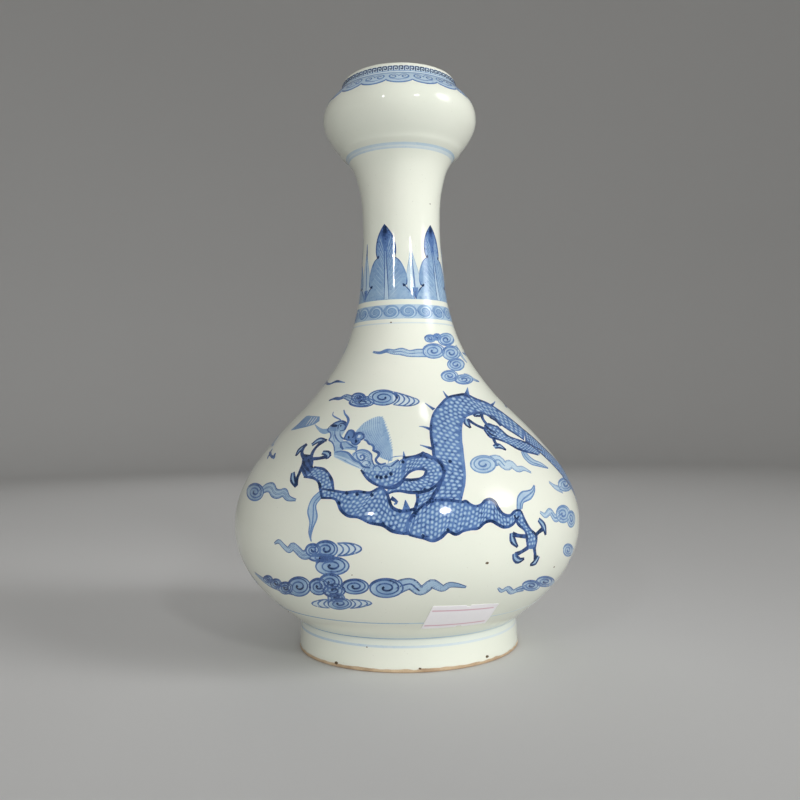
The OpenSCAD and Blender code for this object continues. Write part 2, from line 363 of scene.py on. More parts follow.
# Foot ring
# A turned ring of the same clay that the vase stands on. Its rest is left bare, stained brown in the kiln,
# and its edges are rounded and a little chipped.
REST_BEVEL = 0.0007
BEVEL_POINTS = 4
CHIP_DEPTH = 0.0005
CHIPS = ((30.0, 0.25, 1.0), (90.0, 0.1, 0.35))
REST_PALE, REST_STAIN, REST_GRIT = (0.60, 0.45, 0.29), (0.27, 0.155, 0.075), (0.66, 0.55, 0.40)
STAIN = (160.0, 1.8, 0.35)
REST_GRAIN, REST_SPECKLE = 2200.0, 0.5
REST_ROUGHNESS, REST_STRENGTH = 0.8, 0.4

foot_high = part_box("foot_ring")[1]
bore_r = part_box("base_glaze")[1].x - GLAZE_T
rest_bevels = np.linspace(0, math.pi / 2, BEVEL_POINTS)
outline = [(foot_rest_r + REST_BEVEL * (math.sin(a) - 1),
            REST_BEVEL * (1 - math.cos(a))) for a in rest_bevels]
outline += [(foot_rest_r - GLAZE_T, bare_z + GLAZE_T), (body_r[0] - GLAZE_T, foot_high.z)]
outline += [(bore_r + GLAZE_T, foot_high.z), (bore_r + GLAZE_T, bare_z + GLAZE_T), (bore_r, bare_z)]
outline += [(bore_r + REST_BEVEL * (1 - math.cos(a)), REST_BEVEL * (1 - math.sin(a))) for a in rest_bevels]
bm = turned(outline)
for vertex in bm.verts:
    if vertex.co.z < bare_z:
        flat = vertex.co.xy.normalized().to_3d()
        chip = sum(share * max(0.0, noise.noise(flat * waves) - floor) for waves, floor, share in CHIPS)
        inward = 1 if vertex.co.xy.length < (bore_r + foot_rest_r) / 2 else -1
        vertex.co += flat * inward * CHIP_DEPTH * chip
made, shade = material("bare_rest")
colour = shade.patches(*STAIN).mix(REST_PALE, REST_STAIN)
grit = shade.mottle(REST_GRAIN)
colour = (grit * REST_SPECKLE).mix(colour, REST_GRIT)
bite = grit.bump(REST_STRENGTH, GRIT_DEPTH)
surface(shade, {"Base Color": colour, "Roughness": REST_ROUGHNESS, "Normal": bite})
piece(bm, "foot_rest", made, "bare_porcelain", "foot_ring")

# Inner glaze
# The coat inside, poured in and drained out, from the mouth down to the floor. It is the same glaze, thicker
# where the last of it settled in the corner round the floor.
FLOOR_CORNER = 0.007
CORNER_POINTS = 8
MOUTH_LAP = 0.002
HIDDEN_ROWS, HIDDEN_WALL, HIDDEN_FLOOR = 4, 0.7, 0.8
INNER_STEPS = 160

insides = {}
for vertex in frame["nodes"]["inner_glaze"].data.vertices:
    level = round(vertex.co.z, LEVEL_DIGITS)
    insides[level] = min(insides.get(level, 1.0), math.hypot(vertex.co.x, vertex.co.y))
floor_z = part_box("inner_glaze")[0].z + GLAZE_T
lap_z = lip_round_z - MOUTH_LAP
wall = [(insides[level], level) for level in sorted(insides) if floor_z + FLOOR_CORNER - SAME < level < lap_z]
wall.append((mouth_r + GLAZE_T / 4, lap_z))
lean = (wall[1][0] - wall[0][0]) / (wall[1][1] - wall[0][1])
bend_r = wall[0][0] - lean * (wall[0][1] - floor_z)
corner = []
for t in np.linspace(0, 1, CORNER_POINTS)[:-1]:
    r = (bend_r - FLOOR_CORNER) * (1 - t) ** 2 + bend_r * 2 * t * (1 - t) + wall[0][0] * t**2
    corner.append((r, floor_z + (wall[0][1] - floor_z) * t**2))
hidden = [(r + GLAZE_T * HIDDEN_WALL, z) for r, z in reversed(wall[:-1:HIDDEN_ROWS] + wall[-1:])]
outline = [(0.0, floor_z)] + corner + wall + hidden
outline += [(r, floor_z - GLAZE_T * HIDDEN_FLOOR) for r in (bend_r - FLOOR_CORNER, 0.0)]
piece(turned(outline, INNER_STEPS), "inner_coat", white_glaze("inner_glaze"), "white_glaze", "inner_glaze")

# Base glaze
# The coat under the base and down the inside of the foot ring, rounded where the two meet. It stops above
# the bare rest.
BASE_FILLET = 0.0022
FILLET_POINTS = 6
BASE_EDGE = 0.6

base_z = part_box("base_glaze")[1].z - GLAZE_T
outline = [(0.0, base_z), (bore_r / 2, base_z)]
for a in np.linspace(0, math.pi / 2, FILLET_POINTS):
    outline.append((bore_r - BASE_FILLET * (1 - math.sin(a)), base_z - BASE_FILLET * (1 - math.cos(a))))
outline += [(bore_r, bare_z + GLAZE_T), (bore_r + GLAZE_T * BASE_EDGE, bare_z)]
outline += [(bore_r + GLAZE_T, z + GLAZE_T) for z in (bare_z, base_z)]
outline.append((0.0, base_z + GLAZE_T))
piece(turned(outline, INNER_STEPS), "base_coat", white_glaze("base_glaze"), "white_glaze", "base_glaze")

# Key fret
# A small key pattern round the upright lip, brushed in cobalt on the raw clay and fired under the glaze. Like
# all of the painting it is a film on the surface, from a watery wash to lines that are nearly black.
LAYER = 0.00002
FILM_T = 0.00012
DASH = 0.0008
CELL = 0.0011
HAIR = (0.00012, 0.00022, 0.00012)
FINE = (0.0002, 0.00042, 0.00022)
LINE = (0.0003, 0.0007, 0.0004)
BOLD = (0.0005, 0.0011, 0.0006)
SOFT, MID, DEEP, DARK = 0.36, 0.52, 0.70, 0.92
RING_POINTS = 181
FRET_KEYS = 70
FRET_KEY = [(0.05, 0.0), (0.05, 1.0), (0.72, 1.0), (0.72, 0.30), (0.38, 0.30), (0.38, 0.62)]
FRET_BASE, FRET_LOW, FRET_HIGH = 0.2396, 0.2409, 0.2428
FRET_LINE, FRET_RULE, FRET_OVER = 0.00046, 0.0004, 0.0003
FRET_WASH = (0.14, 0.22, 0.16, 0.22, 0.14)
GATHERS = ((330.0, 0.7), (1500.0, 0.3))
HEAPS = (850.0, 6.0, 3.6, 1.0)
TONE_LEAST, TONE_GATHERED, TONE_HEAPED = 0.60, 0.76, 0.32
COBALT_STOPS = [
    (0.0, (0.71, 0.74, 0.68)), (0.2, (0.44, 0.565, 0.66)), (0.4, (0.232, 0.362, 0.525)),
    (0.6, (0.112, 0.208, 0.420)), (0.8, (0.042, 0.093, 0.252)), (1.0, (0.009, 0.023, 0.072)),
]


def cobalt_under_glaze():
    """Cobalt by tone, from 0 for bare glaze to 1 for the heaviest paint, with gathered and heaped spots."""
    made, shade = material("cobalt_painting")
    tone = shade.attribute("tone")
    broad, fine = (shade.mottle(scale) * share for scale, share in GATHERS)
    heaped = shade.patches(*HEAPS)
    tone = tone * (TONE_LEAST + TONE_GATHERED * (broad + fine) + TONE_HEAPED * heaped)
    glossy(shade, shade.node("ValToRGB", {"stops": COBALT_STOPS}, {0: tone}))
    return made


cobalt = cobalt_under_glaze()


def canvas():
    """A new mesh for a film of paint, with a tone at each of its points."""
    bm = bmesh.new()
    bm.verts.layers.float.new("tone")
    return bm


def sheet(bm, rows, tones, layer):
    """Lays a sheet of paint on the glaze: rows of turns and heights, with a tone for each."""
    high, wide = rows.shape[:2]
    verts = bmesh.ops.create_grid(bm, x_segments=wide - 1, y_segments=high - 1, size=1.0)["verts"]
    tone = bm.verts.layers.float["tone"]
    places = on_glaze(rows, LAYER * layer).reshape(-1, 3)
    for vertex, place, value in zip(verts, places, np.broadcast_to(tones, (high, wide)).ravel()):
        vertex.co = place
        vertex[tone] = value


def flow(points, count=None):
    """A smooth line through a few turns and heights, in count steps or in steps of a dash."""
    points = np.asarray(points, float)
    gaps = np.linalg.norm(np.diff(on_glaze(points), axis=0), axis=1)
    knots = np.concatenate([[0.0], np.cumsum(np.sqrt(gaps))])
    count = count or max(2, int(gaps.sum() / DASH))
    at = np.linspace(0.0, knots[-1], count + 1)
    return hermite(knots, points, np.gradient(points, knots, axis=0), at)


def spread(values, count):
    """Values spread evenly over count places."""
    return np.interp(np.linspace(0, 1, count), np.linspace(0, 1, len(values)), values)


def sides(line, widths):
    """The two edges of a stroke along a line, whose width runs through the widths given."""
    places = on_glaze(line)
    lean = np.interp(line[:, 1], fine_z, fine_lean)
    normal = np.stack([np.sin(line[:, 0]), -np.cos(line[:, 0]), -lean], -1)
    across = np.cross(normal, np.gradient(places, axis=0))
    across *= (spread(widths, len(line)) / 2 / np.linalg.norm(across, axis=1))[:, None]
    edges = []
    for edge in (places - across, places + across):
        turn = np.arctan2(edge[:, 0], -edge[:, 1]) - line[:, 0]
        edges.append(np.stack([line[:, 0] + np.angle(np.exp(1j * turn)), edge[:, 2]], 1))
    return edges


def panel(bm, left, right, tones, layer=1):
    """A sheet between two lines of as many points, with tones spread along it."""
    widest = np.linalg.norm(on_glaze(left) - on_glaze(right), axis=1).max()
    share = np.linspace(0, 1, math.ceil(widest / CELL) + 1)[:, None, None]
    sheet(bm, left * (1 - share) + right * share, spread(tones, len(left)), layer)


def stroke(bm, points, widths=FINE, tones=(DEEP,), layer=2):
    """One stroke of the brush through a few turns and heights."""
    panel(bm, *sides(flow(points), widths), tones, layer)


def ring(bm, z, width, tones, layer=2):
    """A line round the vase, closed on itself."""
    turn = np.linspace(0, 2 * math.pi, RING_POINTS)
    line = np.stack([turn, np.full_like(turn, z)], 1)
    panel(bm, *sides(line, (width,)), tones, layer)


def painted(bm, name):
    """Turns the film's faces outwards, gives it a thickness into the glaze and hangs it on the vase."""
    bmesh.ops.remove_doubles(bm, verts=bm.verts[:], dist=MERGE)
    bm.normal_update()
    inward = [face for face in bm.faces if face.normal.xy.dot(face.calc_center_median().xy) < 0]
    bmesh.ops.reverse_faces(bm, faces=inward)
    bmesh.ops.solidify(bm, geom=bm.faces[:], thickness=FILM_T)
    piece(bm, name, cobalt, "cobalt_blue")


bm = canvas()
pitch = 2 * math.pi / FRET_KEYS
for k in range(FRET_KEYS):
    key = np.array([((k + x) * pitch, FRET_LOW + y * (FRET_HIGH - FRET_LOW)) for x, y in FRET_KEY])
    for start, end in zip(key, key[1:]):
        stroke(bm, [start, end], (FRET_LINE,), (DARK, 1.0), 3)
ring(bm, FRET_LOW - FRET_RULE / 2, FRET_RULE, (MID, SOFT, MID, SOFT, MID), 2)
for low, high in ((FRET_BASE, FRET_LOW), (FRET_LOW, FRET_HIGH + FRET_OVER)):
    ring(bm, (low + high) / 2, high - low, FRET_WASH, 1)
painted(bm, "key_fret")

# Cloud collar
# A collar of cloud lobes that hangs from the foot of the lip over the brow of the bulb: a wash with a
# scalloped edge, a darker outline and a pair of curls in each lobe.
COLLAR_LOBES = 18
COLLAR_TOP, COLLAR_LOW = 0.2394, 0.2334
LOBE_CUT, LOBE_ROUND = 0.0016, 0.7
LOBE_POINTS = 16
COLLAR_WASH = (0.22, 0.30, 0.22, 0.30, 0.22)
COLLAR_EDGE = (0.62, DEEP, 0.62, DEEP, 0.62)
COLLAR_LINE, COLLAR_RULE = 0.0007, 0.0006
HOOK_TURNS, HOOK_END = 1.45, 0.2
HOOK_POINTS = 18
HOOK_AWAY, HOOK_WIDE = 0.080, 0.078
HOOK_Z, HOOK_HIGH = 0.2370, 0.0017
HOOK_TONES, SMILE_TONES = (0.66, 0.6, 0.8), (0.6, 0.68, 0.6)
SMILE = [(-0.13, 0.2358), (0.0, 0.2349), (0.13, 0.2358)]

bm = canvas()
turn = np.linspace(0, 2 * math.pi, COLLAR_LOBES * LOBE_POINTS + 1)
dip = np.abs(np.cos(turn * COLLAR_LOBES / 2)) ** LOBE_ROUND
edge = np.stack([turn, COLLAR_LOW + LOBE_CUT * (1 - dip)], 1)
panel(bm, np.stack([turn, np.full_like(turn, COLLAR_TOP)], 1), edge, COLLAR_WASH)
panel(bm, *sides(edge, (COLLAR_LINE,)), COLLAR_EDGE, 3)
ring(bm, COLLAR_TOP, COLLAR_RULE, (MID, DEEP, MID, DEEP, MID), 3)
for k in range(COLLAR_LOBES):
    middle = 2 * math.pi * k / COLLAR_LOBES
    for way in (-1, 1):
        a = np.linspace(0, HOOK_TURNS * 2 * math.pi, HOOK_POINTS)
        shrink = np.linspace(1.0, HOOK_END, HOOK_POINTS)
        x = middle + way * (HOOK_AWAY - HOOK_WIDE * shrink * np.cos(a))
        stroke(bm, np.stack([x, HOOK_Z + HOOK_HIGH * shrink * np.sin(a)], 1), LINE, HOOK_TONES)
    stroke(bm, np.array(SMILE) + (middle, 0.0), FINE, SMILE_TONES)
painted(bm, "cloud_collar")

# Neck rings
# A pair of thin lines round the throat under the bulb with a watery wash between them, and one more line
# under the scroll band. They were drawn while the vase turned on the wheel.
THROAT_WASH = (0.2105, 0.0018, (0.07, 0.11, 0.07, 0.11, 0.07), 1)
NECK_LINES = [
    (0.2113, 0.0012, (0.17, 0.22, 0.19, 0.15, 0.17)),
    (0.2099, 0.0007, (0.14, 0.10, 0.14, 0.18, 0.14)),
    (0.1368, 0.0006, (0.08, 0.14, 0.06, 0.12, 0.08)),
]

bm = canvas()
for line in [THROAT_WASH] + NECK_LINES:
    ring(bm, *line)
painted(bm, "neck_rings")

# Plantain leaves
# Five upright leaves round the root of the neck, each of three lobes a side with a double midrib and fine
# veins, dark at the tip and at the notches, and the tip of another leaf behind each gap.
LEAVES = 5
LEAF_TURN = math.radians(-20.6)
LEAF_SLANT = math.radians(-0.15)
LEAF_LOW = 147.0
LOBES = [
    [(0.3, 179.4), (5.0, 177.6), (9.8, 175.2), (12.8, 172.8), (14.6, 170.2), (14.8, 167.4), (13.0, 165.2)],
    [(13.0, 165.2), (18.0, 164.0), (22.6, 161.6), (26.0, 158.4), (27.4, 155.6), (26.8, 153.7), (24.6, 152.7)],
    [(24.6, 152.7), (28.6, 151.2), (32.2, 149.5), (34.6, 147.8), (35.2, 147.0)],
]
LOBE_TONES = ((DARK, 0.80, 0.76, DARK), (DARK, 0.54, 0.46, DARK), (DARK, 0.60, 0.50))
LOBE_STEPS = 14
LEAF_WASH = (0.76, 0.60, 0.48, 0.44, 0.40, 0.37, 0.38)
NOTCHES = [(12.6, 165.3), (24.0, 152.8)]
NOTCH = [(-2.2, 0.9), (-0.6, 0.1), (0.8, -0.1)]
RIB_EDGE, RIB_TONES = [(1.0, 170.5), (1.6, 162.0), (3.0, 147.2)], (0.66, 0.76, 0.72)
VEINS = 11
VEIN_LOW, VEIN_PITCH, VEIN_IN, VEIN_REACH = 149.5, 2.1, 2.8, 0.74
VEIN_DROP, VEIN_BEND, VEIN_RISE, VEIN_END = 1.9, 0.9, 3.0, 3.6
VEIN_TONES = (0.30, 0.26, 0.32)
LEAF_MIDDLE = [
    ([(0.0, 168.0), (0.0, 158.0), (0.0, 147.2)], (0.0003, 0.0010, 0.0019), (0.40, 0.24, 0.20), 2),
    ([(0.0, 177.0), (0.0, 172.0), (0.0, 166.0)], (0.0034, 0.0028, 0.0012), (0.82, 0.68, 0.56), 2),
    ([(0.1, 179.6), (0.0, 177.4), (0.0, 174.0)], (0.0003, 0.0021, 0.0010), (DARK, 1.0, 0.80), 4),
]
GAP_TIP = ([(0.0, 172.4), (0.3, 169.0), (0.8, 164.6)], (0.0004, 0.0009, 0.0006), (0.62, 0.78, 0.62), 3)
GAP_EDGE = [(0.3, 170.0), (3.0, 165.0), (6.6, 160.5), (9.0, 156.0), (8.0, 151.8), (1.2, 148.0)]
GAP_STEPS = 24
GAP_WASH, GAP_TONES = (0.30, 0.20, 0.17, 0.19, 0.36), (0.46, 0.34, 0.44)
GAP_RIB = [
    ([(0.4, 165.0), (1.0, 157.0), (1.2, 151.0)], LINE, (0.60, 0.56, 0.66), 3),
    ([(1.2, 152.0), (1.0, 150.0), (1.0, 147.2)], (0.0028, 0.0018, 0.0004), (0.56, 0.66, 0.74), 3),
]


def leaf_spots(points, side=1, middle=0.0):
    """Degrees from a leaf's midrib and heights in millimetres, as turns and heights on the slant."""
    return [(middle + side * math.radians(a) + LEAF_SLANT * (z - LEAF_LOW), z / 1000) for a, z in points]


bm = canvas()
for k in range(LEAVES):
    middle = LEAF_TURN + 2 * math.pi * k / LEAVES
    for side in (-1, 1):
        edge = np.concatenate([flow(leaf_spots(lobe, side, middle), LOBE_STEPS) for lobe in LOBES])
        rib = np.array(leaf_spots([(0.0, z * 1000) for z in edge[:, 1]], side, middle))
        panel(bm, rib, edge, LEAF_WASH)
        for lobe, tones in zip(LOBES, LOBE_TONES):
            stroke(bm, leaf_spots(lobe, side, middle), LINE, tones, 3)
        for a, z in NOTCHES:
            notch = leaf_spots([(a + out, z + up) for out, up in NOTCH], side, middle)
            stroke(bm, notch, BOLD, (DARK, 1.0, DARK), 4)
        stroke(bm, leaf_spots(RIB_EDGE, side, middle), FINE, RIB_TONES, 3)
        half_width = np.degrees(np.abs(edge[::-1, 0] - rib[::-1, 0]))
        for vein in range(VEINS):
            z = VEIN_LOW + VEIN_PITCH * vein
            reach = VEIN_REACH * np.interp(z + VEIN_RISE, edge[::-1, 1] * 1000, half_width)
            line = [(VEIN_IN, z - VEIN_DROP), ((VEIN_IN + reach) / 2, z + VEIN_BEND), (reach, z + VEIN_END)]
            stroke(bm, leaf_spots(line, side, middle), HAIR, VEIN_TONES)
    for points, *brush in LEAF_MIDDLE:
        stroke(bm, leaf_spots(points, 1, middle), *brush)
    gap = middle + math.pi / LEAVES
    points, *brush = GAP_TIP
    stroke(bm, leaf_spots(points, 1, gap), *brush)
    left, right = (flow(leaf_spots(GAP_EDGE, side, gap), GAP_STEPS) for side in (-1, 1))
    panel(bm, left, right, GAP_WASH)
    for edge in (left, right):
        panel(bm, *sides(edge, HAIR), GAP_TONES, 2)
    for points, *brush in GAP_RIB:
        stroke(bm, leaf_spots(points, 1, gap), *brush)
painted(bm, "plantain_leaves")

# Scroll band
# A band of running scrolls between the leaves and the shoulder: curls of dark wash set close together, each
# with a paler line that winds into it.
SCROLLS = 18
SCROLL_Z, SCROLL_HALF = 0.1417, 0.0030
SCROLL_START, SCROLL_END, SCROLL_TURNS = 0.3, 0.12, 1.6
SCROLL_RIM, SCROLL_POINTS = 15, 26
BED_WIDE, SCROLL_LAP = 2.1, 1.02
SCROLL_BED, SCROLL_WASH = (0.24, 0.30, 0.24, 0.30, 0.24), (0.56, 0.46, 0.42, 0.48, 0.56)
SCROLL_LINES = ((1.0, LINE, (0.26, 0.22, 0.32), 3), (0.80, FINE, (0.60, 0.52, 0.64), 4))

bm = canvas()
ring(bm, SCROLL_Z, SCROLL_HALF * BED_WIDE, SCROLL_BED, 1)
half = SCROLL_LAP * math.pi / SCROLLS
for k in range(SCROLLS):
    middle = 2 * math.pi * (k + SCROLL_START) / SCROLLS
    a = np.linspace(0, math.pi, SCROLL_RIM)
    top = np.stack([middle - half * np.cos(a), SCROLL_Z + SCROLL_HALF * np.sin(a)], 1)
    low = np.stack([middle - half * np.cos(a), SCROLL_Z - SCROLL_HALF * np.sin(a)], 1)
    panel(bm, top, low, SCROLL_WASH, 2)
    wind = np.linspace(0, 1, SCROLL_POINTS)
    for start, widths, tones, layer in SCROLL_LINES:
        a = math.pi + SCROLL_TURNS * 2 * math.pi * wind
        shrink = start - (start - SCROLL_END) * wind
        line = np.stack([middle + half * shrink * np.cos(a), SCROLL_Z + SCROLL_HALF * shrink * np.sin(a)], 1)
        stroke(bm, line, widths, tones, layer)
painted(bm, "scroll_band")

# Cloud scrolls
# Small clouds drift over the belly and the shoulder: curls, scalloped ends and wavy tails, each a watery wash
# under a thin line. Those in front lie where the picture has them, and the same clouds come again behind.
SIGHT_NEAR, SIGHT_FAR = 0.27, 0.41
SIGHT_STEPS = 1600
CURL_TURNS, CURL_OPEN, CURL_SHRINK = 3.1, 0.8, 0.86
CURL_LINE = (0.00056, 0.00062, 0.00062, 0.00056, 0.00090)
CURL_TONES = np.array((0.74, 0.64, 0.72, 0.64, 0.90))
CURL_WASH = np.array((0.28, 0.22, 0.34, 0.42, 0.34, 0.22, 0.28))
CURL_RIM, CURL_POINTS = 11, 44
TAIL_LINE = (0.00060, 0.00074, 0.00070)
TAIL_TONES = np.array((0.76, 0.70, 0.70, 0.76))
TAIL_WASH = np.array((0.32, 0.26, 0.28, 0.36))
LADDER_LINE = (0.00045, 0.00068, 0.00056)
LADDER_TONES = np.array((0.70, 0.60, 0.70))
LADDER_WASH = 0.13
LADDER_STEPS, RUNG_POINTS, RUNG_ROUND = 12, 9, 0.8
CLOUDS = {
    "over_head": {
        "tails": [([(329, 400.5), (335, 398.5), (340, 398.5), (345, 396.5), (351, 398.5), (358, 400),
                    (370, 400)], (0.0003, 0.0009, 0.0012, 0.0019, 0.0026, 0.0036, 0.0036))],
        "curls": [(358.5, 397.5, 7, 4.5, 190, 1), (361.5, 402.3, 12.5, 4.6, 180, -1),
                  (383, 397.6, 14.5, 7.6, 10, -1)],
        "ladders": [([(393, 391.8), (398, 393), (403, 394.5), (408, 396), (412.5, 397.5)],
                     [(393, 404.6), (398, 405.3), (403, 405.8), (408, 406), (412.5, 405.5)], 6.5)],
    },
    "shoulder": {
        "tails": [([(373, 352), (380, 352.8), (387, 350.8), (394, 352), (401, 351.5), (409, 353.5),
                    (418, 353), (426, 353)],
                   (0.0003, 0.0008, 0.0013, 0.0019, 0.0030, 0.0026, 0.0034, 0.0034)),
                  ([(465, 376), (469, 376.5), (474, 379.5), (479, 381.5)], (0.0022, 0.0018, 0.0012, 0.0002)),
                  ([(455, 346), (460, 353), (463, 358), (467, 362.5)], (0.0030, 0.0024, 0.0014, 0.0003))],
        "curls": [(433.5, 351, 11, 7.2, 190, 1), (430, 338.5, 5.5, 3.6, 180, 1), (437, 337, 4, 3.2, 180, 1),
                  (446, 339.5, 8, 6, 0, 1), (451, 353, 9, 7, 180, 1), (456, 364.5, 8.5, 6, 0, -1),
                  (449.5, 376, 8.5, 5.4, 180, 1), (463.5, 379.5, 9, 4.6, 180, -1)],
    },
    "left_drift": {
        "tails": [([(274.5, 543.5), (279, 541.5), (284, 546.5), (288.5, 550), (293, 546.5), (298, 550.5),
                    (303, 555), (310, 553)],
                   (0.0003, 0.0012, 0.0014, 0.0017, 0.0024, 0.0028, 0.0028, 0.0034))],
        "curls": [(313, 550, 7.5, 6.2, 180, 1), (326, 549.3, 11.5, 8.6, 200, 1), (332, 566, 17, 9, 200, 1),
                  (322, 558, 13, 3.6, 180, -1)],
        "ladders": [([(337, 543.2), (343, 543), (349, 543.3), (355, 544.3)],
                     [(337, 556), (343, 555.6), (349, 554.8), (355, 553.4)], 6.5)],
    },
    "low_belt": {
        "tails": [([(255, 573), (262, 579), (269, 583.5), (277, 587), (285, 590), (293, 592)],
                   (0.0008, 0.0026, 0.0034, 0.0036, 0.0034, 0.0030)),
                  ([(396, 588.5), (404, 585), (411, 584), (416, 588), (420.5, 591), (426, 588),
                    (432, 583.5), (438, 586.5), (443, 588.5), (449, 585), (455, 585), (466, 587)],
                   (0.0050, 0.0048, 0.0042, 0.0038, 0.0034, 0.0032, 0.0030, 0.0026, 0.0021, 0.0018,
                    0.0013, 0.0003))],
        "curls": [(268, 579, 4.5, 3.4, 190, 1), (276, 583.5, 5.5, 4.6, 190, 1), (285.5, 588, 7, 6, 190, 1),
                  (299, 586.5, 11.5, 9.6, 190, 1), (318.5, 586.5, 9.5, 8.2, 190, 1),
                  (330.5, 582.5, 11.5, 9, 190, 1), (334, 590.5, 11, 6.6, 180, -1),
                  (355, 586.5, 13.5, 7.4, 190, 1), (386, 588, 17, 9.4, 190, 1)],
    },
    "low_drift": {
        "curls": [(339.5, 603.6, 12, 5.6, 190, 1), (336, 597.5, 8.5, 4, 190, 1)],
        "ladders": [([(330, 599.6), (324, 599.6), (318, 600.5)],
                     [(330, 608), (324, 607.6), (318, 606.6)], -6),
                    ([(350, 599.6), (356, 599.6), (362, 600.2), (366, 600.6)],
                     [(350, 608.4), (356, 607.8), (362, 606.8), (366, 605.8)], 5.5)],
    },
    "in_arch": {
        "tails": [([(493, 461), (499, 460), (505, 466), (511, 464), (517, 469), (523, 468.5), (531, 472.5)],
                   (0.0044, 0.0040, 0.0034, 0.0030, 0.0022, 0.0014, 0.0003))],
        "curls": [(483.5, 464.2, 13, 8.6, 10, -1)],
    },
    "left_edge": {
        "tails": [([(259, 494), (265, 488.5), (271, 487.5), (274.5, 493), (279, 494), (284, 492.5),
                    (288, 498), (296, 500)],
                   (0.0030, 0.0036, 0.0036, 0.0032, 0.0032, 0.0028, 0.0016, 0.0003))],
        "curls": [(255, 492, 8.5, 8.5, 190, 1)],
    },
    "right_edge": {
        "tails": [([(540, 512), (545, 515.5), (550, 511.5), (555, 518), (561, 514)],
                   (0.0004, 0.0016, 0.0022, 0.0026, 0.0026)),
                  ([(549, 482), (555, 487), (562, 490)], (0.0005, 0.0018, 0.0024))],
        "curls": [(563, 514, 7, 8.5, 190, 1), (571, 519, 4, 8, 190, 1), (565, 484.5, 7, 6.5, 190, 1),
                  (568, 550, 5, 6, 190, 1)],
    },
    "low_right": {
        "tails": [([(498, 588), (502, 591), (507, 588.3), (512, 592), (518, 589.5), (525, 588)],
                   (0.0003, 0.0011, 0.0016, 0.0018, 0.0024, 0.0026))],
        "curls": [(531, 585.5, 9, 5, 190, 1), (545, 581.5, 9, 5, 190, 1)],
    },
}
# Heavier ink on the clouds at the left and lighter on the right: partly the brush, partly painted shade on
# the left and painted light on the right.
INK_AND_SHADE = {"over_head": 1.08, "low_belt": 1.15, "left_drift": 1.06, "low_drift": 1.06, "shoulder": 0.84,
       "in_arch": 0.74, "right_edge": 0.76}
BEHIND = [
    ("over_head", 120, -4), ("over_head", 190, -5), ("over_head", 262, 0), ("shoulder", 95, 0),
    ("shoulder", 187, 1), ("in_arch", 238, 50), ("in_arch", 90, 6), ("in_arch", 160, 3),
    ("in_arch", 190, 1), ("left_edge", 325, 19), ("left_drift", 112, -14), ("low_belt", 185, -6),
    ("left_drift", 272, -15), ("low_right", 228, 1), ("low_drift", 122, 0),
]
WISPS = [
    [(317, 386), (324, 382.5), (330, 384), (336, 381.5), (345, 382.5)],
    [(272.5, 448.5), (269.5, 454), (267.5, 459)], [(269.5, 452), (271, 455.5), (274.5, 458.5)],
    [(275, 453), (274.5, 456), (274, 459)],
]
WISP_LINE, WISP_TONES = (0.0004, 0.0018, 0.0010, 0.0014, 0.0004), (MID, 0.8, DEEP, 0.8, MID)


def seen(pixels):
    """The turns and heights on the glaze that lie behind these pixels of the picture."""
    pixels = np.asarray(pixels, float)
    right, up, back = (np.array(facing.col[i]) for i in range(3))
    sight = right * (pixels[:, :1] - PHOTO / 2) / FOCAL + up * (PHOTO / 2 - pixels[:, 1:]) / FOCAL - back
    reach = np.linspace(SIGHT_NEAR, SIGHT_FAR, SIGHT_STEPS)
    places = np.array(EYE) + sight[:, None, :] * reach[:, None]
    miss = np.hypot(places[..., 0], places[..., 1]) - outside(places[..., 2])
    first = np.where((miss < 0).any(1), (miss < 0).argmax(1), miss.argmin(1))
    hit = places[np.arange(len(pixels)), first]
    return np.stack([np.arctan2(hit[:, 0], -hit[:, 1]), hit[:, 2]], 1)


def moved(turn, rise):
    """The same places on the glaze, turned on by degrees and raised by millimetres."""
    return lambda pixels: seen(pixels) + (math.radians(turn), rise / 1000)


def curl(bm, place, ink, x, y, wide, high, start, spin):
    """A wash with a line that winds into it from a start angle in degrees."""
    a = np.linspace(0, math.pi, CURL_RIM)
    top = place(np.stack([x - wide * np.cos(a), y - high * np.sin(a)], 1))
    low = place(np.stack([x - wide * np.cos(a), y + high * np.sin(a)], 1))
    panel(bm, top, low, ink * CURL_WASH)
    wind = np.linspace(0, CURL_TURNS, CURL_POINTS)
    a = math.radians(start) + spin * 2 * math.pi * wind
    shrink = 1 - CURL_SHRINK * np.clip(wind - CURL_OPEN, 0, None) / (CURL_TURNS - CURL_OPEN)
    line = np.stack([x + wide * shrink * np.cos(a), y + high * shrink * np.sin(a)], 1)
    stroke(bm, place(line), CURL_LINE, ink * CURL_TONES)


def tail(bm, place, ink, points, widths):
    """A wavy tail: a wash between two lines, with a third along its middle."""
    line = flow(place(points))
    left, right = sides(line, widths)
    panel(bm, left, right, ink * TAIL_WASH)
    for edge in (left, right, line):
        panel(bm, *sides(edge, TAIL_LINE), ink * TAIL_TONES)


def ladder(bm, place, ink, upper, lower, bulge):
    """Scallops one behind the other, each an arc from the upper edge to the lower with a wash between."""
    upper, lower = np.array(upper, float), np.array(lower, float)
    down = np.linspace(0, 1, RUNG_POINTS)[:, None]
    panel(bm, flow(place(upper), LADDER_STEPS), flow(place(lower), LADDER_STEPS), (ink * LADDER_WASH,))
    for top, low in zip(upper, lower):
        rung = top * (1 - down) + low * down
        arc = place(rung + np.sin(math.pi * down) ** RUNG_ROUND * (bulge, 0))
        panel(bm, arc, place(rung), (ink * LADDER_WASH,))
        stroke(bm, arc, LADDER_LINE, ink * LADDER_TONES)
    for edge in (upper, lower):
        stroke(bm, place(edge), LADDER_LINE, ink * LADDER_TONES)


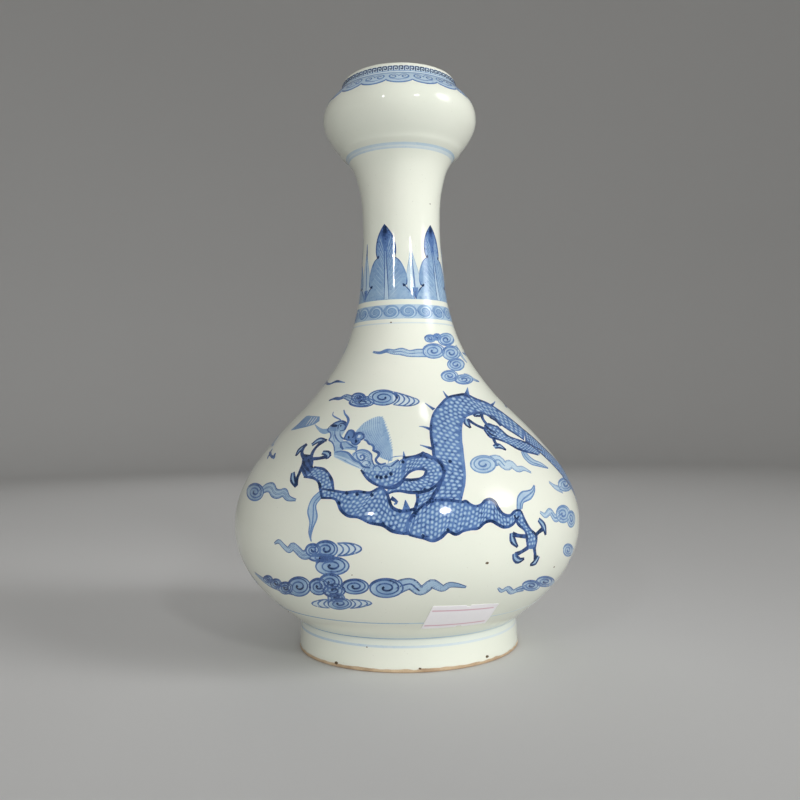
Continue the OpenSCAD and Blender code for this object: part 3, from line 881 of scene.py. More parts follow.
def cloud(bm, place, name):
    """All of one cloud: its tails, its ladders of scallops and its curls."""
    for draw, parts in ((tail, "tails"), (ladder, "ladders"), (curl, "curls")):
        for part in CLOUDS[name].get(parts, []):
            draw(bm, place, INK_AND_SHADE.get(name, 1.0), *part)


bm = canvas()
for name in CLOUDS:
    cloud(bm, seen, name)
for wisp in WISPS:
    stroke(bm, seen(wisp), WISP_LINE, WISP_TONES)
painted(bm, "clouds_in_front")

bm = canvas()
for name, turn, rise in BEHIND:
    cloud(bm, moved(turn, rise), name)
painted(bm, "clouds_behind")

# Dragon
# A scaled dragon that runs round the belly among the clouds, its head turned back over a loop of its body.
# A blue wash fills it, pale dabs make its scales and dark lines edge it. Its far side is carried on.
SCALE_ROW = 0.00152
SCALE_PITCH = 0.0018
SCALE_RIM, SCALE_PALE, SCALE_RANGE = 0.50, 0.20, 0.10
SCALE_SIZE, SCALE_SIDES = 0.43, 6
TONE_ALONG, TONE_ACROSS = 0.7, 1.3
SCALE_FIRST, SCALE_STAGGER, SCALE_MARGIN = 0.28, 0.44, 0.08
BODY_WASH = (0.72, 0.65, 0.72, 0.65)
EDGE_LINE = (0.0007, 0.0012, 0.0008, 0.0013, 0.0007)
BOTH_DARK = (1.0, 0.80, DARK, 0.80, 1.0, 0.80, DARK)
EDGES = {"neck": (None, BOTH_DARK), "arch": (BOTH_DARK, (0.66, 0.60, 0.64, DEEP, DARK, DARK))}
GROW = {"arch": 1.7}
PITCH = {"arch": 0.0022}
BODY = {
    "neck": ([(366, 464), (376, 464.5), (388, 465), (396, 463), (401, 459.5), (405, 457.5)],
             [(361, 470), (368, 479), (377, 485), (388, 488), (398, 486), (404, 480)]),
    "loop": ([(404, 457.5), (415, 456), (424, 453.5), (433, 458), (441, 464.5), (443.5, 473), (440, 481.5),
              (432, 488.5), (422, 492), (410, 492.5), (400, 491), (392, 492), (386, 495)],
             [(403, 479.5), (409, 472.5), (417, 469), (424, 469.5), (426, 471), (425.5, 473), (424, 476),
              (420, 478.5), (415, 479.5), (410, 480), (404, 480), (398, 484), (388, 488)]),
    "chest": ([(322, 489), (336, 491), (345, 492.5), (358, 491.5), (370, 492.5), (380, 488), (386, 492),
               (389, 499), (392, 507), (400, 511), (408, 510.5), (416, 509), (414, 517)],
              [(321, 498), (335, 499), (338, 503), (341, 510), (348, 516), (358, 517.5), (370, 523),
               (383, 525.5), (392, 531), (400, 533), (405, 533.8), (408, 534), (409, 535)]),
    "torso": ([(414, 516), (420, 508), (428, 502), (438, 500), (448, 500), (456, 501), (462, 502),
               (466, 501), (470, 504), (475, 506), (481, 504.5), (485, 500.5), (490, 499), (495, 502),
               (498, 508), (503, 514), (510, 515.5), (514, 511.5), (518, 510), (521, 511)],
              [(409, 535), (415, 536.5), (424, 538.5), (433, 541), (441, 537.5), (448, 531.5), (455, 534.5),
               (459, 533.5), (462, 531.5), (470, 529.5), (478, 528.5), (485, 522.5), (491, 521), (497, 524),
               (503, 527), (506, 527), (509, 526.5), (513, 524), (516, 520), (519, 516)]),
    "crook": ([(416, 491), (417.5, 497), (416.5, 504), (414, 512)],
              [(441, 483), (437, 491), (432, 499), (426, 506)]),
    "arch": ([(428, 503), (434, 493), (441, 482), (444.5, 473), (442, 464), (434.5, 457), (433, 448),
              (431, 436), (431, 424), (434, 413), (440, 405), (448, 397.5), (458, 395), (466, 394.5),
              (476, 399), (488, 403.5), (500, 411), (512, 420), (524, 430)],
             [(460, 503), (462.5, 492), (464, 485), (464.5, 475), (464, 468), (462.5, 455), (461.8, 447),
              (461, 440), (461, 428), (462.5, 421), (466, 416.5), (470, 414.5), (478, 413), (486, 414.5),
              (490, 417), (495, 420), (505, 427.5), (515, 434), (524, 440)]),
}
FRONT_ORDER = ("neck", "chest", "crook", "torso", "arch", "loop")
TURN_LINE = ([(416, 510), (411, 518), (407.5, 525), (407.5, 531), (411, 536)],
             EDGE_LINE, (DARK, DEEP, DARK), 4)
CROSSING = ([(424, 453.5), (433, 458), (441, 464.5), (443.5, 473), (440, 481.5), (432, 488.5), (425, 491)],
            (0.0006, 0.0010, 0.0008, 0.0010, 0.0007), (DEEP, 1.0, 0.86, 1.0), 5)
LOOP_CREST = ([(409, 458.5), (416, 456.5), (423, 451.5), (428, 455), (434, 459.5)],
              [(409, 459.5), (416, 458.8), (423, 457.6), (428, 458.6), (434, 461)])
CREST_STEPS = 20
CREST_SPINE = ([(467.5, 387.5), (467.3, 391), (467, 397)], (0.0003, 0.0014, 0.0034), (MID, DEEP, DARK), 4)
WINDOW_SPIKE = ([(405.3, 500), (406, 504.5), (406.5, 511)], (0.0003, 0.0016, 0.0034), (DEEP, 0.66), 2)
WINDOW_CURL = ([(391, 498), (394.5, 500), (397, 502.5), (394, 504.5)],
               (0.0016, 0.0012, 0.0006), (DARK, DEEP), 4)
FAR_SPINE = [
    (63.4, 85.6), (67.5, 80.5), (74, 73), (84, 64.5), (97, 58), (112, 57), (126, 62.5), (139, 71),
    (153, 75.5), (167, 72), (179, 62), (190, 52.5), (203, 47), (217, 47.5), (230, 53), (241, 61), (250, 70),
]
FAR_WIDTHS = (0.0098, 0.0102, 0.011, 0.0115, 0.0115, 0.011, 0.0105, 0.010, 0.0095, 0.009, 0.0082, 0.0074,
              0.0064, 0.0054, 0.0044, 0.0032, 0.0018)
FIN_FIRST, FIN_LAST, FIN_STEP = 12, 8, 26
FIN_OUT, FIN_IN, FIN_SWEEP = 1.5, 0.9, 3
FIN_LINE = (0.0003, 0.0014)
TUFT = [(16, 9), (20, 3), (15, -4)]
TUFT_ROOT, TUFT_BOW, TUFT_LIFT = -4, 0.03, 0.25
TUFT_LINE = (0.0022, 0.0030, 0.0003)
SPINES = [
    [(425, 403), (429, 406), (434, 409.5)], [(443, 391), (445, 394), (448, 398)],
    [(419, 426.5), (424, 427), (431, 429.5)], [(420, 445), (425, 446.5), (433, 449)],
    [(403.5, 451.5), (404, 455), (404.5, 459)], [(495, 401.5), (493, 404), (491, 406)],
]
SPINE_LINE = (0.0003, 0.0008, 0.0016)
DOT, DOT_LINE = [(-1.6, 0.4), (0, 0), (1.6, -0.4)], (0.0008, 0.0016, 0.0007)
DOTS = [
    (403, 462), (391, 474), (377, 477), (381, 477.5), (386, 477), (372, 495), (357, 494), (347, 493),
    (339, 503), (400, 511), (414, 509.5), (425, 490), (383, 524), (423, 536), (448, 530), (450, 461.5),
]


def scales(bm, left, right, grow, pitch):
    """Staggered rows of dabs between a body's edges, pale in the middle and deeper by grow at the end."""
    middle = on_glaze((left + right) / 2)
    length = np.concatenate([[0.0], np.cumsum(np.linalg.norm(np.diff(middle, axis=0), axis=1))])
    width = np.linalg.norm(on_glaze(left) - on_glaze(right), axis=1)
    corners = np.linspace(0, 2 * math.pi, SCALE_SIDES + 1)[:-1]
    tone = bm.verts.layers.float["tone"]
    at, row = SCALE_ROW, 0
    while at < length[-1] - SCALE_ROW / 2:
        deep = SCALE_ROW * (1 + (grow - 1) * at / length[-1])
        cells = max(2, round(np.interp(at, length, width) / pitch))
        for cell in range(cells):
            share = (cell + SCALE_FIRST + SCALE_STAGGER * (row % 2)) / cells
            if not SCALE_MARGIN < share < 1 - SCALE_MARGIN:
                continue
            u = share + SCALE_SIZE / cells * np.append(np.cos(corners), 0.0)
            v = at + SCALE_SIZE * deep * np.append(np.sin(corners), 0.0)
            near, far = ([np.interp(v, length, part) for part in edge.T] for edge in (left, right))
            places = on_glaze((np.array(near) * (1 - u) + np.array(far) * u).T, LAYER * 3)
            dab = bmesh.ops.create_circle(bm, cap_ends=True, cap_tris=True, segments=SCALE_SIDES, radius=1.0)
            verts = dab["verts"]
            verts.sort(key=lambda vertex: vertex.co.length < 0.5)
            pale = SCALE_PALE + SCALE_RANGE * noise.noise((row * TONE_ALONG, cell * TONE_ACROSS, share))
            for vertex, place, value in zip(verts, places, [SCALE_RIM] * SCALE_SIDES + [pale]):
                vertex.co = place
                vertex[tone] = value
        at += deep
        row += 1


def scaled(bm, left, right, edge_tones=(BOTH_DARK, BOTH_DARK), grow=1.0, pitch=SCALE_PITCH):
    """A length of body: the wash, its scales and a line along each edge that has tones."""
    panel(bm, left, right, BODY_WASH)
    scales(bm, left, right, grow, pitch)
    for edge, tones in zip((left, right), edge_tones):
        if tones:
            panel(bm, *sides(edge, EDGE_LINE), tones, 4)


bm = canvas()
for name in FRONT_ORDER:
    left, right = (seen(rail) for rail in BODY[name])
    count = int(np.linalg.norm(np.diff(on_glaze(left), axis=0), axis=1).sum() / DASH)
    left, right = flow(left, count), flow(right, count)
    edge_tones = EDGES.get(name, (BOTH_DARK, BOTH_DARK))
    scaled(bm, left, right, edge_tones, GROW.get(name, 1.0), PITCH.get(name, SCALE_PITCH))
    if name == "arch":
        far_start = (left[-1] + right[-1]) / 2
for points, *brush in (TURN_LINE, CROSSING):
    stroke(bm, seen(points), *brush)
panel(bm, *(flow(seen(edge), CREST_STEPS) for edge in LOOP_CREST), (DEEP, DARK, DEEP), 4)
for points, *brush in (CREST_SPINE, WINDOW_SPIKE, WINDOW_CURL):
    stroke(bm, seen(points), *brush)
for spine in SPINES:
    stroke(bm, seen(spine), SPINE_LINE, (MID, DEEP, DARK), 4)
for dot in DOTS:
    stroke(bm, seen(np.array(DOT) + dot), DOT_LINE, (1.0,), 5)
painted(bm, "dragon_front")

bm = canvas()
spine = np.concatenate([far_start[None], [(math.radians(a), z / 1000) for a, z in FAR_SPINE]])
line = flow(spine)
left, right = sides(line, FAR_WIDTHS)
scaled(bm, left, right)
for k in range(FIN_FIRST, len(line) - FIN_LAST, FIN_STEP):
    tip, root = (left[k] * share + line[k] * (1 - share) for share in (FIN_OUT, FIN_IN))
    stroke(bm, [tip + left[k] - left[k - FIN_SWEEP], root], FIN_LINE, (MID, DARK), 4)
for reach, side in TUFT:
    end = line[-1] + np.array([math.radians(reach), side / 1000])
    middle = (line[TUFT_ROOT] + end) / 2 + np.array([TUFT_BOW, TUFT_LIFT * side / 1000])
    tail(bm, np.asarray, 1.0, [line[TUFT_ROOT], middle, end], TUFT_LINE)
painted(bm, "dragon_far_side")

# Dragon's head and legs
# The head, with horns, mane and beard, and the clawed legs. They are washes of several tones with brush lines
# over them, the claws left pale between dark edges, and flames trail from the joints.
TOE, TOE_TONES = (0.0017, 0.0014, 0.0019), (0.86, DARK, 1.0)
CLAW, CLAW_WASH = (0.0012, 0.0020, 0.0004), (MID, SOFT, SOFT, DEEP)
CLAW_LINE, CLAW_TONES = (0.0006, 0.0010, 0.0006), (DARK, 0.88, 1.0)
PALM_LINE = (0.0008, 0.0011, 0.0006)
STRIPE_LINE, STRIPE_TONES = (0.0003, 0.0005, 0.0003), (0.06,)
FLAME_WASH, FLAME_TONES, FLAME_INSIDE = (0.39, 0.28, 0.22, 0.28), (0.66, 0.52, 0.58), 0.6
FILL_STEPS, FLAME_STEPS, LEG_STEPS = 24, 30, 34
HEAD_FILLS = [
    ([(353, 455), (358, 450.5), (365, 450.5), (371, 455)],
     [(355, 459.5), (360, 464.5), (366, 468), (373, 467)], (0.24, 0.20, 0.30), 1),
    ([(330, 427), (334, 423), (340, 421), (346, 422)], [(331, 431), (336, 431), (341, 431.5), (345.5, 429)],
     (0.50, 0.56, 0.40, 0.60), 1),
    ([(329, 428), (331, 434), (330, 440), (333, 445), (335, 452)],
     [(346, 424), (345, 431), (342, 436), (344, 442), (343, 450)], (0.50, 0.30, 0.26, 0.30, 0.36), 1),
    ([(344, 439), (347, 433), (350, 430), (354, 432), (360, 432), (364, 435)],
     [(347, 441), (351, 442), (353, 444), (357, 445), (360, 442), (363, 439)],
     (0.56, 0.62, 0.66, 0.60, 0.46), 1),
    ([(340, 442), (346, 441), (352, 443), (358, 446)],
     [(342, 450), (347, 449.5), (353, 450), (357, 450.5)], (0.44, 0.36, 0.42), 1),
    ([(334, 451), (342, 451), (349, 453), (354, 459), (360, 462), (367, 468)],
     [(334, 454.5), (341.5, 456.5), (348, 459), (353.5, 462.5), (360, 466), (366.5, 470)],
     (0.40, 0.44, 0.38, 0.34, 0.40), 2),
    ([(334, 454), (341.5, 456), (348, 458.5), (353.5, 462), (360, 465.5), (366.5, 470)],
     [(334, 457), (341, 460.5), (347, 463.5), (353, 466), (360, 469), (366, 472)],
     (0.24, 0.26, 0.22, 0.20, 0.30), 1),
    ([(352, 454), (358, 450), (365, 450), (371, 453), (372, 460), (374, 467)],
     [(354, 458), (357, 454), (363, 454), (366, 457), (367.5, 461), (369, 468)],
     (0.40, 0.46, 0.50, 0.56, 0.62), 1),
    ([(291, 430), (298, 424), (306, 416.5), (313, 416), (320, 416.5)],
     [(291.5, 430.5), (302, 428), (310, 426), (315, 424), (319.5, 421)], (0.46, 0.52, 0.46, 0.50), 1),
    ([(314, 423), (319, 427), (324, 429), (330, 428)],
     [(317, 429), (321, 433), (325, 434), (331, 432)], (0.36, 0.42, 0.46), 1),
    ([(366, 468), (372, 464), (380, 464.5), (390, 463), (398, 459)],
     [(366, 472), (373, 471), (381, 471), (390, 470), (400, 466)], (0.44, 0.34, 0.36, 0.34, 0.50), 2),
]
HEAD_LINES = [
    ([(333.5, 412), (332.8, 415), (335.5, 417.3), (340, 419.5), (342, 421.5)], LINE, (0.6, 0.7)),
    ([(344, 410), (345, 414), (347.5, 417), (348.6, 420.5), (347, 425), (344.5, 430)],
     (0.0005, 0.0011, 0.0009), (0.6, 0.72, 0.7)),
    ([(330.5, 426), (334, 423.5), (340, 421.3), (345, 422), (347, 424.5)], BOLD, (DARK, 0.8, DARK)),
    ([(331.5, 425.5), (334.5, 425.8), (337.5, 426)], (0.0008, 0.0017, 0.0008), (0.96,)),
    ([(338, 428.5), (339, 424.8), (342.5, 423.3), (346, 426), (344.5, 430), (340, 431)],
     LINE, (0.84, 0.9, 0.8)),
    ([(340.3, 426), (341.6, 425.6)], (0.0010, 0.0010), (0.98,)),
    ([(331, 425.5), (328.4, 428.3), (328, 431), (330.6, 433), (330.8, 437), (329, 440), (332, 442),
      (334, 446), (334.5, 451)], LINE, (DARK, 0.72, 0.78, 0.72)),
    ([(335, 430.5), (335.2, 436), (337.5, 440), (341, 443)], LINE, (0.62, 0.7, 0.6)),
    ([(332.5, 431.5), (333.5, 437), (335, 442)], FINE, (0.46, 0.52)),
    ([(340, 432), (340.8, 436.5), (345, 439.3), (351, 440)], LINE, (0.62, 0.72, 0.8)),
    ([(344, 439.5), (346, 435), (349.3, 430.6), (353, 431), (354.5, 434.5), (352.5, 438)],
     BOLD, (0.84, 0.78, 0.9)),
    ([(356, 440), (355.4, 435.5), (358.5, 432.8), (362.8, 434), (363.7, 438), (360.5, 440.3)],
     (0.0006, 0.0010, 0.0007), (0.8, 0.76, 0.84)),
    ([(358, 436.3), (360.5, 436.6)], (0.0012, 0.0014, 0.0010), (0.16,)),
    ([(348, 437.6), (349.6, 437)], (0.0013, 0.0013), (1.0,)),
    ([(355, 441.6), (357.2, 441)], (0.0015, 0.0013), (1.0,)),
    ([(351, 441.5), (353, 444), (357, 444.6), (360.5, 441.5)], LINE, (0.8, 0.74, 0.84)),
    ([(341, 442.5), (341, 446), (343.2, 449.5)], BOLD, (0.74, 0.8, 0.92)),
    ([(341, 442.5), (346, 441.8), (349, 444), (353.5, 446.6)], LINE, (0.66, 0.6, 0.86)),
    ([(345, 447), (350, 448), (354, 447), (357, 448.6), (355.5, 451)], LINE, (0.6, 0.66, 0.6)),
    ([(335, 452.4), (342, 451.3), (348, 453), (351.3, 456.5), (354.5, 460), (360, 463), (363, 466.5),
      (370, 468)], BOLD, (0.64, 0.70, 0.66, 0.8)),
    ([(337, 457), (344, 460), (351, 464), (359, 467.5)], FINE, (0.42, 0.46)),
    ([(353.5, 456), (356, 452), (361, 449.8), (367, 450.8), (371.4, 454.5), (372, 460), (374.5, 466)], LINE,
     (0.60, 0.64, 0.7, 0.78)),
    ([(356.4, 453), (357.4, 457.8), (360.6, 460.6), (363.9, 459.4), (364.6, 456.6), (362.4, 454.8),
      (360.4, 456.2), (361.2, 458)], (0.0005, 0.0009, 0.0006), (0.62, 0.70, 0.64)),
    ([(362.2, 457.6), (362.9, 457.4)], (0.0011, 0.0011), (0.12,)),
    ([(361.5, 463.5), (365, 460.6), (369.5, 462), (370.5, 465), (366.5, 467)], FINE, (0.66, 0.72)),
    ([(364, 439.6), (367, 441), (369, 444), (372.6, 445), (374, 448), (373.4, 450.3), (376.3, 451.6),
      (379, 453.5), (378, 456.5), (375.8, 459.3), (377, 462.5), (381, 464.6), (386, 463.3)],
     (0.0007, 0.0011, 0.0008), (0.8, 0.74, 0.82, 0.74, 0.7)),
    ([(373, 471), (374, 467), (378, 465.8), (381, 469)], LINE, (0.62, 0.7)),
    ([(381, 470.5), (383, 466.8), (387, 466), (390, 469)], LINE, (0.62, 0.7)),
    ([(388, 463), (391, 458), (398, 456.3), (404, 456)], FINE, (0.5, 0.6)),
    ([(387, 466), (391, 466.5), (395, 463), (399, 460)], LINE, (0.7, DARK)),
]
MANE_ROOTS = [(357, 433.5), (364, 437.5), (370, 443.5), (376, 450), (380.5, 457), (390, 461)]
MANE_TIPS = [(358.5, 429), (364, 423), (373, 418), (380.5, 416.5), (386, 428), (391.5, 449)]
MANE_HAIRS = 26
MANE_BULGE = 0.022
MANE_BROAD, MANE_WASH = (0.0016, 0.0017, 0.0014, 0.0007), (0.36, 0.27, 0.27)
MANE_LINE, MANE_TONES = (0.0003, 0.0004, 0.0002), (0.56, 0.40, 0.46)
MANE_EDGE = [(381, 418), (384, 424), (387.5, 433.5), (390, 442), (391, 451)]
MANE_TEETH = 15
MANE_TOOTH = [(-3.0, 3.0), (-0.4, 0.6), (1.9, -1.6)]
TOOTH_LINE, TOOTH_TONES = (0.0007, 0.0008, 0.0002), (0.28, 0.32, 0.40)
STRIPES = [[(309, 425), (312, 421), (315, 417)], [(312, 424), (315, 420.5), (317.5, 417)],
           [(306, 425.5), (309, 421.5), (312, 417)]]
LEGS = [
    ([(314, 467), (325, 470), (331, 478), (334, 491)], [(304, 477), (313, 478), (319, 483), (321.5, 497)]),
    ([(521, 511), (525, 521), (530, 529), (536, 536), (535, 549)],
     [(514, 515), (518, 524), (525, 531), (527, 540), (527.5, 549)]),
    ([(488, 424), (497, 427), (508, 436), (520, 440.5), (530, 444.5), (542, 451)],
     [(484, 430), (490, 437), (497, 439), (507, 443), (518, 449), (538, 455)]),
]
PALM_LINES = [
    [(305, 455), (308, 456.5), (312, 454.5)], [(303.5, 461), (305, 466), (308, 469.5), (311, 473)],
    [(308, 459), (310.5, 464), (313, 468)], [(302, 467), (304.5, 472), (307, 476.5)],
    [(486, 426), (490, 430), (496, 433)], [(487, 431), (492, 435), (497, 436.5)],
    [(476, 416.5), (478.5, 415.5)], [(496, 426), (499, 427.5)],
]
FAR_LEG = (78, -9)
PALMS = [
    ([(303, 454), (302, 462), (301, 469), (304, 477)],
     [(313, 455), (313.5, 462), (312.5, 468), (313, 477)], (0.92, 0.84, 0.70)),
    ([(484, 425), (489, 423), (497, 427)], [(484, 431), (490, 437), (499, 439)], (0.8, 0.66)),
]
TOES = {
    "near": [[(304, 458), (302, 452), (305, 446), (307, 444)],
             [(311, 457), (313.5, 451), (318, 445.5), (324, 441)], [(312, 459), (319, 458.4), (327, 456.6)],
             [(303, 465), (299.5, 473), (297, 479), (296, 486)]],
    "far": [[(527, 536.5), (518, 535.6), (512.6, 534)], [(528, 547.5), (521, 552), (515, 554.6)],
            [(534, 547), (535.2, 558.5)], [(535, 536), (538, 532.5), (542.5, 529)]],
    "hind": [[(485, 429), (476, 425), (467.5, 419.5)], [(487, 425), (482.5, 418.5), (481, 412.5)],
             [(501, 426), (496, 421), (490, 417)], [(493, 437), (495, 442.5), (498, 446)]],
}
CLAWS = {
    "near": [[(306, 445), (300, 450), (296, 456)], [(312, 445), (319, 440.5), (327, 440.5)],
             [(322.5, 452.6), (327, 453.4), (328.6, 456.4), (325.6, 458.6)],
             [(293, 472.5), (293, 479), (296, 487)]],
    "far": [[(511.5, 533), (512.5, 540), (517.5, 547)],
            [(514, 553.5), (515, 558), (519, 560.5), (524, 558.5)], [(538.5, 556), (535, 562), (530, 565)],
            [(538.5, 519.5), (543.5, 526), (545.5, 535)]],
    "hind": [[(466, 418.5), (467, 424), (470.5, 428)], [(482, 413), (478, 414.5), (473.5, 416)],
             [(489, 416.5), (493, 418), (497, 421)], [(494, 447), (499, 446), (506, 450)]],
}
FLAMES = [
    ([(320, 491), (312, 499), (308, 511), (310, 522), (309, 533), (311, 541)],
     [(321, 498.5), (316, 505), (317, 517), (313, 528), (311, 537), (311.5, 541.5)]),
    ([(517, 512), (517, 504), (518, 497), (522, 492), (527, 491), (531, 489.5), (534, 485)],
     [(522, 509), (523, 503), (526, 501), (530, 499), (533, 495), (534.5, 491), (534.5, 485.5)]),
    ([(524, 448), (528, 455), (534, 460), (541, 463), (548, 468)],
     [(521, 452), (524, 458), (530, 463.5), (538, 466), (548, 468.5)]),
]


def fill(bm, left, right, tones, layer):
    """A wash between two edges given in pixels."""
    panel(bm, flow(seen(left), FILL_STEPS), flow(seen(right), FILL_STEPS), tones, layer)


def claw(bm, place, points):
    """A claw, pale between two dark lines."""
    left, right = sides(flow(place(points)), CLAW)
    panel(bm, left, right, CLAW_WASH, 3)
    for edge in (left, right):
        panel(bm, *sides(edge, CLAW_LINE), CLAW_TONES, 4)


def foot(bm, place, name):
    """The toes of one foot, and a claw on each."""
    for points in TOES[name]:
        stroke(bm, place(points), TOE, TOE_TONES, 4)
    for points in CLAWS[name]:
        claw(bm, place, points)


def flame(bm, left, right):
    """A flame that trails from a joint: a wash between two lines, with a third inside."""
    left, right = flow(seen(left), FLAME_STEPS), flow(seen(right), FLAME_STEPS)
    panel(bm, left, right, FLAME_WASH)
    for edge in (left, right, left * (1 - FLAME_INSIDE) + right * FLAME_INSIDE):
        panel(bm, *sides(edge, LINE), FLAME_TONES, 2)


bm = canvas()
for parts in HEAD_FILLS:
    fill(bm, *parts)
roots, tips = flow(seen(MANE_ROOTS), MANE_HAIRS), flow(seen(MANE_TIPS), MANE_HAIRS)
for k, (root, tip) in enumerate(zip(roots, tips)):
    bend = (root + tip) / 2 + (MANE_BULGE * math.sin(math.pi * k / MANE_HAIRS), 0.0)
    stroke(bm, [root, bend, tip], MANE_BROAD, MANE_WASH, 1)
    stroke(bm, [root, bend, tip], MANE_LINE, MANE_TONES)
for tooth in zip(*(spread(row, MANE_TEETH) for row in zip(*MANE_EDGE))):
    stroke(bm, seen(np.array(MANE_TOOTH) + tooth), TOOTH_LINE, TOOTH_TONES)
for points in STRIPES:
    stroke(bm, seen(points), STRIPE_LINE, STRIPE_TONES)
for points, widths, tones in HEAD_LINES:
    stroke(bm, seen(points), widths, tones, 4)
painted(bm, "dragon_head")

bm = canvas()
for left, right in LEGS:
    scaled(bm, flow(seen(left), LEG_STEPS), flow(seen(right), LEG_STEPS))
for left, right, tones in PALMS:
    fill(bm, left, right, tones, 2)
for points in PALM_LINES:
    stroke(bm, seen(points), PALM_LINE, (1.0, DARK), 4)
for name in TOES:
    foot(bm, seen, name)
for left, right in FLAMES:
    flame(bm, left, right)
far = moved(*FAR_LEG)
scaled(bm, *(flow(far(edge), LEG_STEPS) for edge in LEGS[1]))
foot(bm, far, "far")
painted(bm, "dragon_legs")

# Foot rings and crease shade
# Thin lines that were drawn round the lower belly and the foot on the wheel. They are watery. The line in the
# crease above the foot is partly a pale blue line and partly painted shade, and all three fade from the left
# towards the right, which is painted light.
FOOT_LINES_AND_SHADE = [
    # The fading of each line towards the right is painted light.
    (0.0215, 0.0006, (0.24, 0.10, 0.04, 0.06, 0.12, 0.20, 0.34, 0.40, 0.30)),
    # Partly a pale blue line, partly painted shade in the crease above the foot.
    (0.0131, 0.0008, (0.30, 0.22, 0.14, 0.20, 0.26, 0.32, 0.38, 0.42, 0.30)),
    (0.0098, 0.0009, (0.12, 0.08, 0.06, 0.08, 0.10, 0.14, 0.18, 0.18, 0.12)),
]

bm = canvas()
for line in FOOT_LINES_AND_SHADE:
    ring(bm, *line)
painted(bm, "foot_rings_and_shade")

# Glaze specks
# Iron specks that burnt through the glaze in the kiln, and small pits along the lower edge of the foot. Each
# is a brown spot in the surface.
SPECK_SIDES = 9
SPECK_WIDE, SPECK_HIGH, SPECK_ROUGH, SPECK_WAVES = 1.25, 0.8, 0.3, 1.7
SPECK_LAYER = 5
IRON_DARK, IRON_BROWN, IRON_GRAIN = (0.035, 0.026, 0.016), (0.20, 0.14, 0.075), 3000.0
SPECKS = [((487, 563), 0.00052), ((554, 567), 0.00034), ((391, 322.5), 0.00034),
          ((367, 647), 0.00026), ((415, 292), 0.0002),
          ((430, 204), 0.00026), ((352, 575), 0.0002), ((286, 612), 0.00022), ((468, 348), 0.00018)]
PITS = [((336.5, 663), 0.0007), ((487, 656.5), 0.0007), ((420, 668.5), 0.00045)]


def thickened(bm, thickness):
    """Turns a sheet's faces outwards and gives it a thickness."""
    bm.normal_update()
    inward = [face for face in bm.faces if face.normal.dot(face.calc_center_median()) < 0]
    bmesh.ops.reverse_faces(bm, faces=inward)
    bmesh.ops.solidify(bm, geom=bm.faces[:], thickness=thickness)


bm = bmesh.new()
for (x, y), size in SPECKS + PITS:
    turn, z = seen([(x, y)])[0]
    verts = bmesh.ops.create_circle(bm, cap_ends=True, segments=SPECK_SIDES, radius=1.0)["verts"]
    spots = []
    for k in range(SPECK_SIDES):
        a = 2 * math.pi * k / SPECK_SIDES
        r = size * (1 + SPECK_ROUGH * noise.noise((x, y, k * SPECK_WAVES)))
        spots.append((turn + SPECK_WIDE * r * math.cos(a) / outside(z), z + SPECK_HIGH * r * math.sin(a)))
    for vertex, place in zip(verts, on_glaze(spots, LAYER * SPECK_LAYER)):
        vertex.co = place
thickened(bm, FILM_T)
made, shade = material("iron_specks")
glossy(shade, shade.mottle(IRON_GRAIN).mix(IRON_DARK, IRON_BROWN))
piece(bm, "glaze_specks", made, "white_glaze")

# Paper label
# A small sticker of white paper on the lower belly, with a pink rule along its top and bottom. Its sides
# slant, its top and bottom have a nick each, and one corner has begun to lift.
LABEL_CORNERS = [(433, 606), (498, 602.6), (421, 628.4), (484.5, 622.6)]
LABEL_ACROSS, LABEL_DOWN = 48, 18
PAPER_T = 0.00016
CORNER_LIFT, CORNER_FROM, CORNER_BEND = 0.0024, 0.72, 1.5
END_CURL, END_FROM = 0.00012, 0.49
NICK = 0.05
TOP_NICK, LOW_NICK = (0.49, 0.56), (0.52, 0.60)
RULES = (0.20, 0.86)
RULE_SHARP, RULE_SHARE = 26.0, 0.9
RULE_MIDDLE, RULE_NARROW, RULE_END = 0.49, 2.1, 30.0
PAPER_PALE, PAPER_GREY, RULE_PINK = (0.86, 0.84, 0.86), (0.78, 0.76, 0.79), (0.55, 0.20, 0.30)
PAPER_CLOUDS, PAPER_CLOUDED, PAPER_ROUGHNESS = 900.0, 0.6, 0.6
FIBRES, FIBRE_STRENGTH, FIBRE_DEPTH = 2500.0, 0.2, 0.0001

top_left, top_right, low_left, low_right = seen(LABEL_CORNERS)
u, v = np.meshgrid(np.linspace(0, 1, LABEL_ACROSS + 1), np.linspace(0, 1, LABEL_DOWN + 1))
nicked = v.copy()
nicked[0, (u[0] > TOP_NICK[0]) & (u[0] < TOP_NICK[1])] += NICK
nicked[-1, (u[0] > LOW_NICK[0]) & (u[0] < LOW_NICK[1])] -= NICK
top = top_left * (1 - u[..., None]) + top_right * u[..., None]
low = low_left * (1 - u[..., None]) + low_right * u[..., None]
spots = top * (1 - nicked[..., None]) + low * nicked[..., None]
lift = PAPER_T + CORNER_LIFT * np.clip(u - v - CORNER_FROM, 0, None) ** CORNER_BEND
lift += END_CURL * (np.abs(u - 1 / 2) > END_FROM)
bm = bmesh.new()
down = bm.verts.layers.float.new("down")
along = bm.verts.layers.float.new("along")
verts = bmesh.ops.create_grid(bm, x_segments=LABEL_ACROSS, y_segments=LABEL_DOWN, size=1.0)["verts"]
for vertex, place, a, b in zip(verts, on_glaze(spots, lift).reshape(-1, 3), u.ravel(), v.ravel()):
    vertex.co = place
    vertex[along] = a
    vertex[down] = b
thickened(bm, PAPER_T)
made, shade = material("label_paper")
colour = (shade.mottle(PAPER_CLOUDS) * PAPER_CLOUDED).mix(PAPER_PALE, PAPER_GREY)
at_down, at_along = shade.attribute("down"), shade.attribute("along")
ends = ((1 - abs((at_along - RULE_MIDDLE) * RULE_NARROW)).clip() * RULE_END).clip()
